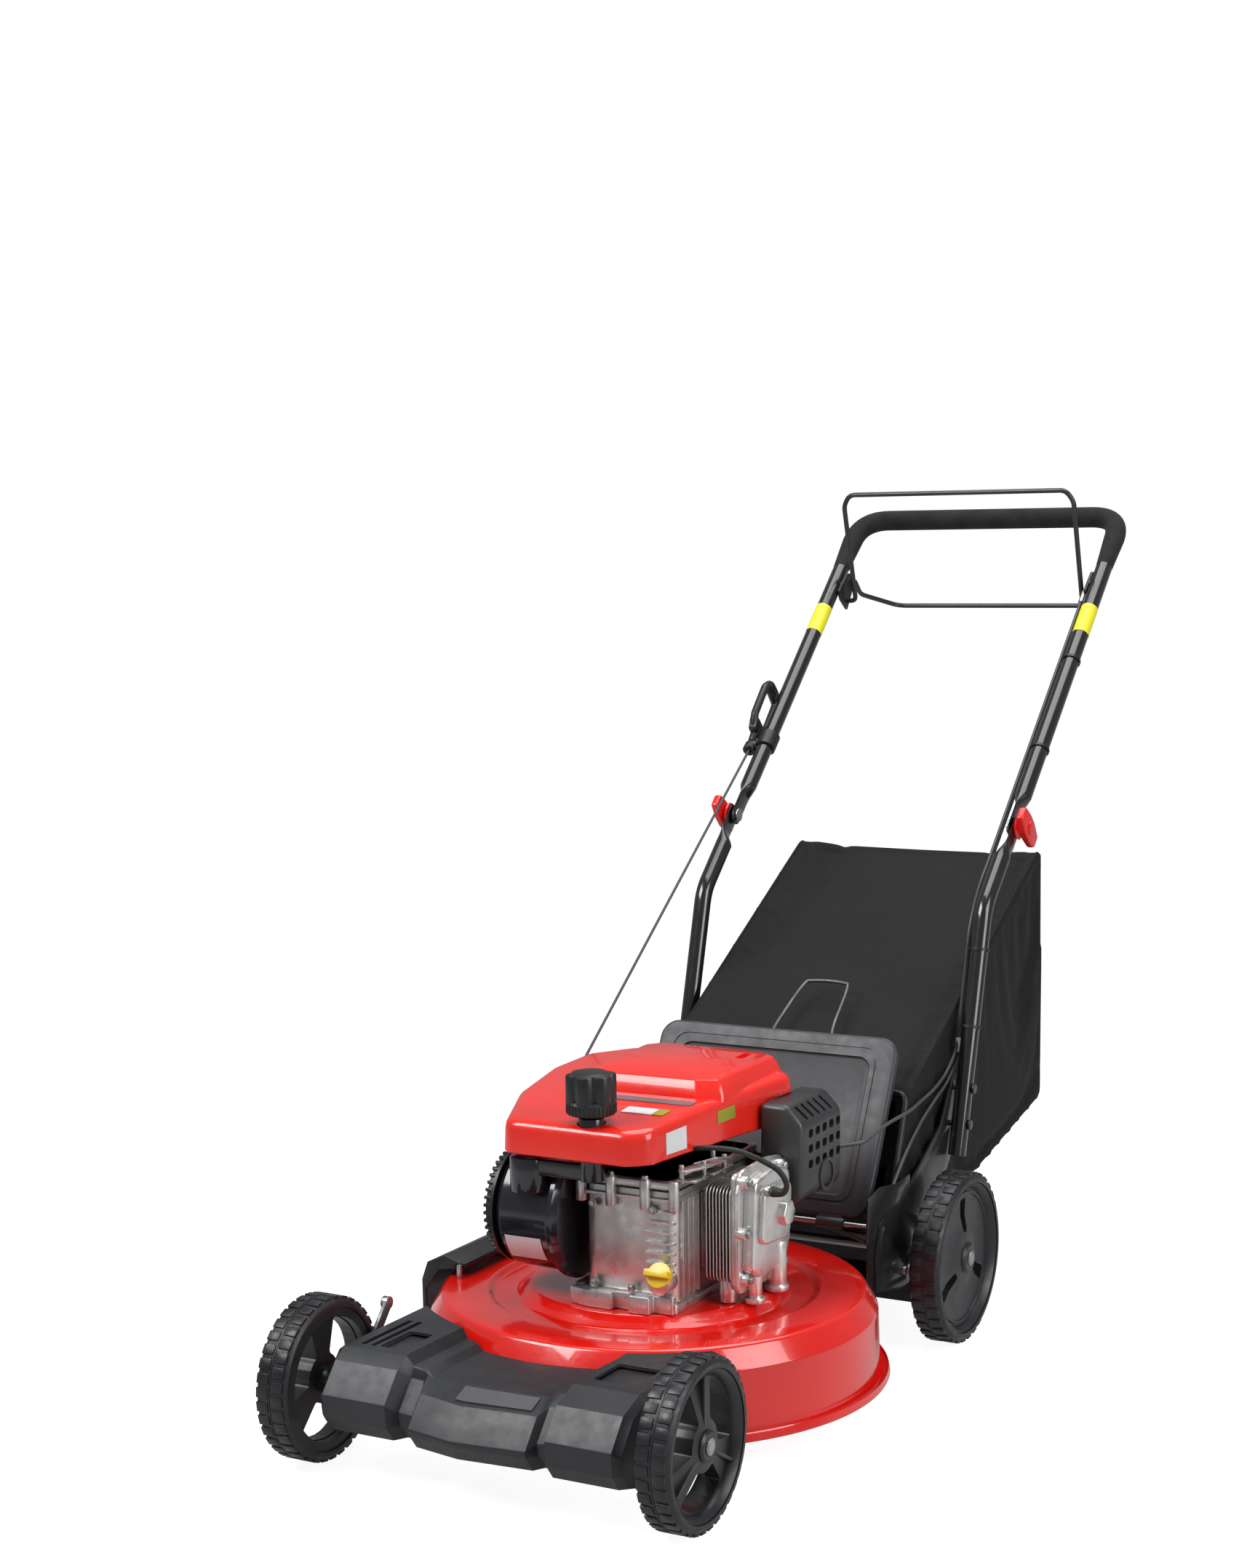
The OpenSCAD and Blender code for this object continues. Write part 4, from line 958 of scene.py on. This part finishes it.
def rear_rim(centre):
    """A flat dish with three slots, a raised hub and a stepped rim."""
    x = centre[0]
    dish = lathe([(-25, 22), (-25, 100), (-42, 101), (-42, 104.5), (-2, 104.5), (-1, 101), (-5, 97),
                  (-11, 94), (-12, 60), (-8, 40), (-4, 24), (-4, 6.5), (-25, 6.5)], centre, "X", 144)
    slot = around(centre, softened([(-6, 36), (6, 36), (10, 82), (-10, 82)], 5))
    slots = ring_of(lambda k: prism(slot, "yz", x - 60, x + 5), 3, centre, "X")
    hub = lathe([(-43, 6.5), (-43, 20), (-3, 22), (0.5, 18), (0.5, 6.5)], centre, "X", 60)
    ridge = lathe([(-13, 86), (-9, 88), (-9, 91), (-13, 93)], centre, "X", 120)
    return merged(cut(dish, slots), hub, ridge)


# ---- Handle, controls and cables

def handle_path(start):
    """The bent run of the upper handle, from start on one side round to start on the other."""
    points = [(HANDLE_X, start, 0), (HANDLE_X, 642, 0), (-HANDLE_X, 642, 0), (-HANDLE_X, start, 0)]
    return [on_handle(*p) for p in softened(points, 50, closed=False, steps=12)]


def flat_end(side, x, end, run):
    """The flattened end of a handle tube, round at its bolt and as wide as the tube's wall allows."""
    way = 1 if run > end else -1
    half, thick = 15, 2.4
    stations = [(x, end - way * half * math.cos(a), thick, half * math.sin(a)) for a in
                (k * math.pi / 16 for k in range(1, 9))]
    stations += [(x, end + (run - end) * t, thick, half) for t in (0.3, 0.5)]
    for t in (k / 8 for k in range(1, 9)):
        ease = t * t * (3 - 2 * t)
        stations.append((x + (HANDLE_X - x) * ease, end + (run - end) * (0.5 + t / 2), thick + 10 * ease,
                         half - 2.6 * ease))
    bm = bmesh.new()
    turns = [2 * math.pi * k / 28 for k in range(28)]
    loft(bm, [[bm.verts.new((middle + deep * math.cos(a), s, wide * math.sin(a))) for a in turns]
              for middle, s, deep, wide in stations])
    bm.transform(ON_HANDLE)
    return sided(bm, side)


def make_handles():
    upper = [tube(handle_path(57), TUBE_RADIUS, 28)]
    upper += [flat_end(side, 221.6, 0, 60) for side, word in SIDES]
    piece("upper_tube", merged(*upper), "upper_handle", "black_tube", ("upper_handle",))
    for side, word in SIDES:
        lower = merged(tube(leg_path(side), TUBE_RADIUS, 28), flat_end(side, 227.6, 0, -62))
        fixed("lower_tube_" + word, lower, "black_tube", ("lower_handle_" + word,))
    sleeve = tube(handle_path(530), lambda t: 16 - 3.2 * max(0, 1 - min(t, 1 - t) * 60) ** 2, 32)
    piece("foam_sleeve", sleeve, "upper_handle", "foam", ("foam_grip",))
    for side, word in SIDES:
        run = [on_handle(side * HANDLE_X, s, 0) for s in (384, 386, 412, 438, 440)]
        piece("warning_sleeve_" + word, tube(run, TUBE_RADIUS + 0.4, 28, cap=False), "upper_handle",
              "yellow_plastic", look="yellow")


LEG_TILT = math.radians(74.3)
LEG_TOP = -150


def leg_point(x, d, t=0):
    """A point beside a lower handle's leg: d down from the bend, t above it."""
    start = on_handle(x, LEG_TOP, 0)
    return start + Vector((0, -d * math.cos(LEG_TILT) - t * math.sin(LEG_TILT),
                           -d * math.sin(LEG_TILT) + t * math.cos(LEG_TILT)))


def leg_path(side):
    x = side * HANDLE_X
    points = [on_handle(x, -59, 0), on_handle(x, LEG_TOP, 0), leg_point(x, 352)]
    return softened(points, 70, closed=False, steps=12)


def make_bails():
    bails = (("blade_bail", (208.5, 488, -30), (191, 488, -30), (191, 557, 112), (180, 565, 128)),
             ("drive_bail", (208.5, 521, -18), (200, 521, -18), (200, 523, -50), (164, 562, -115)))
    for name, *half in bails:
        points = [on_handle(*p) for p in half + [(-x, s, t) for x, s, t in half[::-1]]]
        path = softened(points, 26, closed=False, steps=8)
        piece(name + "_wire", tube(path, 3.75, 16), name, "black_steel", (name,))


def make_cables():
    """Both control cables, routed along the handle, and the ties, clip and ends that hold them."""
    routes = (
        ("brake_cable", -2, (462, 380, 280, 180, 80, 10, -60, -115), (30, 90, 150, 196),
         [(202.5, 880, 352), (202.5, 835, 336), (201.5, 780, 326), (201, 746, 321), (192, 700, 314),
          (189, 665, 308), (184, 632, 302), (160, 610, 298), (130, 594, 296), (110, 562, 294), (98, 520, 292),
          (90, 488, 290)]),
        ("drive_cable", -9, (460, 380, 280, 180, 80, 10, -60, -110), (36, 90, 150, 206),
         [(202.5, 884, 338), (202.5, 838, 320), (202, 790, 299), (202, 745, 273), (201, 712, 246),
          (198.5, 690, 220), (194, 677, 196), (193, 673, 172.6)]))
    for name, t, along, down, rest in routes:
        route = [on_handle(CABLE_X, s, t) for s in along] + [leg_point(CABLE_X, d, t) for d in down] + rest
        jacket = piece(name + "_jacket", tube(spline(route, 7), 2.5, 12), None, "cable_jacket", (name,))
        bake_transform(jacket)
    ties = [ring_at(on_handle(HANDLE_X, s, 0), on_handle(HANDLE_X, s + 1, 0), 13, 14.4, 4)
            for s in (330, 150)]
    piece("cable_ties_upper", merged(*ties), "upper_handle", "black_plastic")
    ties = [ring_at(leg_point(HANDLE_X, d), leg_point(HANDLE_X, d + 1), 13, 14.4, 4) for d in (60, 170)]
    fixed("cable_ties_lower", merged(*ties), "black_plastic")
    clip = tube([leg_point(205, 186, -6), leg_point(205, 206, -7)], 6, 16)
    fixed("cable_clip", clip, "cable_jacket", look="white")
    ends = [tube([on_handle(CABLE_X, a, t), on_handle(CABLE_X, b, t)], 4.2, 16)
            for a, b, t in ((455, 478, -2), (452, 474, -9))]
    piece("cable_ends", merged(*ends), "upper_handle", "steel")


def ring_at(a, b, inner, outer, width):
    """A band round the line from a towards b."""
    h = width / 2
    ring = lathe([(-h, inner), (-h, outer), (h, outer), (h, inner)], (0, 0, 0), "Z", 40)
    ring.transform(Matrix.Translation(a) @ (b - a).to_track_quat("Z", "Y").to_matrix().to_4x4())
    return ring


ROPE_FROM = Vector((-172, 512, 404))
ROPE_TO = Vector((-247, 1176, 768))
ROPE_DIR = (ROPE_TO - ROPE_FROM).normalized()
GRIP_TILT = math.radians(46)
GRIP_DIR = Vector((0, math.cos(GRIP_TILT), math.sin(GRIP_TILT)))


def make_rope():
    """Starter rope: the long run up to the guide, and the short end that turns towards the grip."""
    run = [ROPE_FROM.lerp(ROPE_TO - ROPE_DIR * 6, k / 60) for k in range(61)]
    rope = piece("starter_rope_run", tube(run, 2.0, 12), None, "rope", ("starter_rope",))
    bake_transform(rope)
    stub = spline([ROPE_TO - ROPE_DIR * 8, ROPE_TO, ROPE_TO + GRIP_DIR * 8, ROPE_TO + GRIP_DIR * 17], 8)
    end = piece("starter_rope_end", tube(stub, 2.0, 12), None, "rope")
    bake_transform(end)


def make_grip():
    """The D-shaped starter grip, moulded in one with its tapered nose, beside the upper handle."""
    turn = Matrix.Rotation(QUARTER, 4, "Z") @ Matrix.Rotation(QUARTER - GRIP_TILT, 4, "Y")
    nose = lathe([(0, 2.3), (0, 6.4), (1.5, 7.4), (20, 8.5), (24, 8), (24, 2.3)], (0, 0, 0), "Z", 40)
    loop = softened([(-13, 20), (-24, 38), (-24, 92), (-14, 107), (14, 107), (24, 92), (24, 38), (13, 20)],
                    14)
    path = [(p.x, 0, p.y) for p in (a.lerp(b, 0.5) for a, b in zip(loop, loop[1:] + loop[:1]))]
    ring = tube(path + path[:1], 6.2, 20, cap=False)
    bar = tube([(-20, 0, 98), (0, 0, 100), (20, 0, 98)], 7.4, 20)
    shoulder = prism(softened([(-16, 14), (16, 14), (25, 34), (-25, 34)], 6), "xz", -6.4, 6.4, 2.5)
    whole = merged(ring, bar, shoulder, nose)
    whole.transform(Matrix.Translation(ROPE_TO + GRIP_DIR * 12) @ turn)
    piece("grip_moulding", whole, "starter_grip", "black_plastic", ("starter_grip",))


def make_rope_guide():
    eye_at = Matrix.Translation(ROPE_TO) @ ROPE_DIR.to_track_quat("Z", "Y").to_matrix().to_4x4()
    eye = lathe([(-8, 4.2), (-8, 9), (-6.5, 10), (6.5, 10), (8, 9), (8, 4.2)], (0, 0, 0), "Z", 40)
    eye.transform(eye_at)
    clamp = ring_at(on_handle(-HANDLE_X, 150, 0), on_handle(-HANDLE_X, 151, 0), 12.6, 16.4, 26)
    foot = on_handle(-234, 150, 0)
    arm = tube(softened([foot, ROPE_TO.lerp(foot, 0.4), ROPE_TO + Vector((6, -2, 6))], 10, False), 6, 18)
    piece("guide_moulding", merged(clamp, arm, eye), "upper_handle", "black_plastic", ("rope_guide",))
    screw = disc((0, 0, 0), "X", -240, -237, 5.5, 0.8, 24)
    screw.transform(ON_HANDLE @ Matrix.Translation((0, 150, 0)))
    piece("guide_screw", screw, "upper_handle", "steel")


def make_knobs():
    """Wing knobs: a round hub with two lobes and a domed cap."""
    lobe = [(-9, 30), (9, 30), (12, 18), (14, 8), (14, -8)]
    turn = Matrix.Rotation(math.radians(45), 2)
    outline = softened([turn @ Vector(p) * 1.16 for p in lobe + [(-x, -y) for x, y in lobe]], 6)
    for side, word in SIDES:
        hub = disc(FOLD, "X", 230.4, 244, 13, 2, 40)
        skirt = lathe([(230.6, 8), (230.6, 17), (233, 18), (237, 14), (237, 8)], FOLD, "X", 48)
        wings = prism(around(FOLD, outline), "yz", 238, 250, 3.4, 4)
        cap = disc(FOLD, "X", 248, 252.5, 11, 1.6, 40)
        node = "knob_" + word
        piece("knob_moulding_" + word, sided(merged(hub, skirt, wings, cap), side), node, "knob_red", (node,))


# ---- Grass bag

BAG_HALF = 198
BAG_CENTRE = Vector((1050, 330))
BAG_OUTLINE = [(705, 205), (758, 345), (1268, 627), (1281, 237), (1012, 177), (800, 176)]


def bag_solid(grow):
    """The bag's closed form, its corners a little round."""
    outline = [p + (p - BAG_CENTRE).normalized() * grow for p in softened(BAG_OUTLINE, 16, steps=3)]
    return prism(outline, "yz", -BAG_HALF - grow, BAG_HALF + grow)


def make_bag():
    """Fabric over a wire frame: a cloth simulation with the frame's edges held, then applied."""
    bm = bag_solid(1)
    bmesh.ops.triangulate(bm, faces=bm.faces)
    mesh = bpy.data.meshes.new("bag_cloth")
    bm.transform(PLACE)
    bm.to_mesh(mesh)
    bm.free()
    bag = bpy.data.objects.new("bag_cloth", mesh)
    bpy.context.scene.collection.objects.link(bag)
    remesh = bag.modifiers.new("remesh", "REMESH")
    remesh.mode, remesh.voxel_size = "VOXEL", 0.009
    apply_modifiers(bag)
    rest = [v.co.copy() for v in bag.data.vertices]
    hold = bag.vertex_groups.new(name="hold")
    edges = frame_edges()
    for v in bag.data.vertices:
        gap = min(distance_to(v.co, a, b) for a, b in edges)
        hold.add([v.index], max(0.0, min(1.0, 1.5 - gap / 0.012)), "REPLACE")
    cloth = bag.modifiers.new("cloth", "CLOTH")
    cloth.settings.quality = 5
    cloth.settings.mass = 0.2
    cloth.settings.vertex_group_mass = "hold"
    cloth.settings.tension_stiffness = 12
    cloth.settings.bending_stiffness = 0.6
    cloth.settings.shrink_min = -0.025
    cloth.settings.use_pressure = True
    cloth.settings.uniform_pressure_force = -0.35
    cloth.settings.effector_weights.gravity = 0.6
    for n in range(1, 22):
        bpy.context.scene.frame_set(n)
    apply_modifiers(bag)
    bpy.context.scene.frame_set(1)
    most = 0.013
    for v, start in zip(bag.data.vertices, rest):
        move = v.co - start
        if move.length > most:
            v.co = start + move.normalized() * most
    side = (BAG_HALF + 0.5) * MM
    for v in bag.data.vertices:
        v.co.x = max(-side, min(side, v.co.x))
    bag.data.materials.clear()
    bm = bmesh.new()
    bm.from_mesh(bag.data)
    mouth = [f for f in bm.faces if in_mouth(f.calc_center_median())]
    bmesh.ops.delete(bm, geom=mouth, context="FACES")
    bm.to_mesh(bag.data)
    bm.free()
    skin = bag.modifiers.new("skin", "SOLIDIFY")
    skin.thickness, skin.offset = 0.0016, -1
    smooth = bag.modifiers.new("smooth", "SUBSURF")
    smooth.levels = smooth.render_levels = 1
    apply_modifiers(bag)
    mesh = bag.data
    bpy.data.objects.remove(bag)
    finish_piece("bag_cloth", mesh, "grass_bag", "bag_fabric", ("grass_bag",), 60)


def in_mouth(p):
    """True near the flat mouth between the outline's first two corners."""
    a, b = PLACE @ Vector((0, *BAG_OUTLINE[0])), PLACE @ Vector((0, *BAG_OUTLINE[1]))
    along = (b - a).normalized()
    normal = Vector((0, along.z, -along.y))
    up, edge = (p - a).dot(along), 0.012
    return abs((p - a).dot(normal)) < 0.006 and abs(p.x) < 0.18 and edge < up < (b - a).length - edge


def frame_edges():
    """Where the wire frame and the seams hold the cloth, in the frame's metres."""
    corners = [[PLACE @ Vector((side * BAG_HALF, *p)) for p in BAG_OUTLINE] for side in (1, -1)]
    count = len(BAG_OUTLINE)
    edges = [(row[i], row[(i + 1) % count]) for row in corners for i in range(count)]
    return edges + [(corners[0][i], corners[1][i]) for i in range(count)]


def distance_to(p, a, b):
    span = b - a
    t = max(0, min(1, (p - a).dot(span) / span.length_squared))
    return (p - a - span * t).length


def apply_modifiers(obj):
    """Applies every modifier of obj to its mesh."""
    graph = bpy.context.evaluated_depsgraph_get()
    graph.update()
    mesh = bpy.data.meshes.new_from_object(obj.evaluated_get(graph))
    obj.modifiers.clear()
    obj.data = mesh


def make_bag_trim():
    """Piping along the seams, the mouth's stiff rim, the wire loop and the sleeves it turns in."""
    outline = [Vector((0, *p)) for p in BAG_OUTLINE]
    centre = Vector((0, *BAG_CENTRE))
    for side, word in SIDES:
        inset = [p + (centre - p).normalized() * 5 + Vector((side * (BAG_HALF - 3.4), 0, 0)) for p in outline]
        path = softened(inset, 16, steps=6)
        piece("bag_piping_" + word, tube(path + path[:1], 2.6, 12, cap=False), "grass_bag", "bag_fabric")
    rim = softened([(-193, 706, 208), (193, 706, 208), (193, 757, 342), (-193, 757, 342)], 14)
    piece("bag_mouth_rim", tube(rim + [Vector((-193, 720, 245))], 5, 12), "grass_bag", "black_plastic")
    wire = spline([(-50, 838, 392), (-46, 858, 410), (-38, 920, 449), (-26, 931, 455.5), (20, 931, 455.5),
                   (32, 920, 449), (40, 858, 410), (44, 838, 392)], 8)
    wire = [Vector((-62, 838, 392))] + wire + [Vector((56, 838, 392))]
    piece("loop_wire", tube(softened(wire, 4, False), 2.5, 14), "bag_loop", "iron", ("bag_loop",))
    sleeves = [lathe([(x, 2.7), (x, 5.5), (x + 8, 5.5), (x + 8, 2.7)], (0, 838, 392), "X", 32)
               for x in (-62, 48)]
    piece("loop_sleeves", merged(*sleeves), "grass_bag", "black_plastic")


def make_labels():
    """Blank labels where the shroud carries its decals."""
    tilt = Matrix.Rotation(SHROUD_SLOPE, 4, "X") @ Matrix.Rotation(math.radians(2), 4, "Z")

    def on_top(x, y, sx, sy, name, tone):
        z = 393.7 + (y - SHROUD_FRONT) * math.tan(SHROUD_SLOPE)
        plate = prism(round_box(-sx / 2, -sy / 2, sx / 2, sy / 2, 2), "xy", -0.6, 0.5)
        plate.transform(Matrix.Translation((x, y, z)) @ tilt)
        fixed(name, plate, "red_plastic", look=tone)

    on_top(6, 342, 150, 18, "blank_label_stripe", "grey")
    on_top(32, 296, 42, 24, "blank_label_top", "white")
    on_top(61, 297, 15, 24, "blank_label_top_end", "olive")
    outline = shroud_outline()
    a = max((p for p in outline if p.x > 60 and p.y < 300), key=lambda p: p.y)
    b = min((p for p in outline if p.x > 60 and 300 < p.y < 440), key=lambda p: p.y)
    for name, tone, y0, y1, z0, z1 in (("blank_label_side", "white", 258, 300, 357, 381),
                                       ("blank_label_side_back", "olive", 366, 404, 370, 382)):
        near, far = (a.lerp(b, (y - a.y) / (b.y - a.y)) for y in (y0, y1))
        plate = bmesh.new()
        plate.faces.new([plate.verts.new(skirt_point(p, z, 3.0 - (z - 350) / 17)) for p, z in
                         ((near, z0), (far, z0), (far, z1), (near, z1))])
        fixed(name, plate, "red_plastic", look=tone)


make_camera()
MATERIALS = make_materials()
make_studio()
for node in nodes:
    nodes[node].data.materials.clear()
    nodes[node].data.materials.append(MATERIALS[SLOTS[node]])

make_rope()
make_cables()
make_deck()
make_nose()
make_rear_door()
make_cheeks()
make_shroud()
make_labels()
make_fuel_cap()
make_tank_and_filter()
make_crankcase()
make_cylinder()
make_governor()
make_muffler_guard()
make_wheels()
make_handles()
make_bails()
make_grip()
make_rope_guide()
make_knobs()
make_bag()
make_bag_trim()

for node in [node for node in nodes if not nodes[node].hide_render]:
    refined(node)
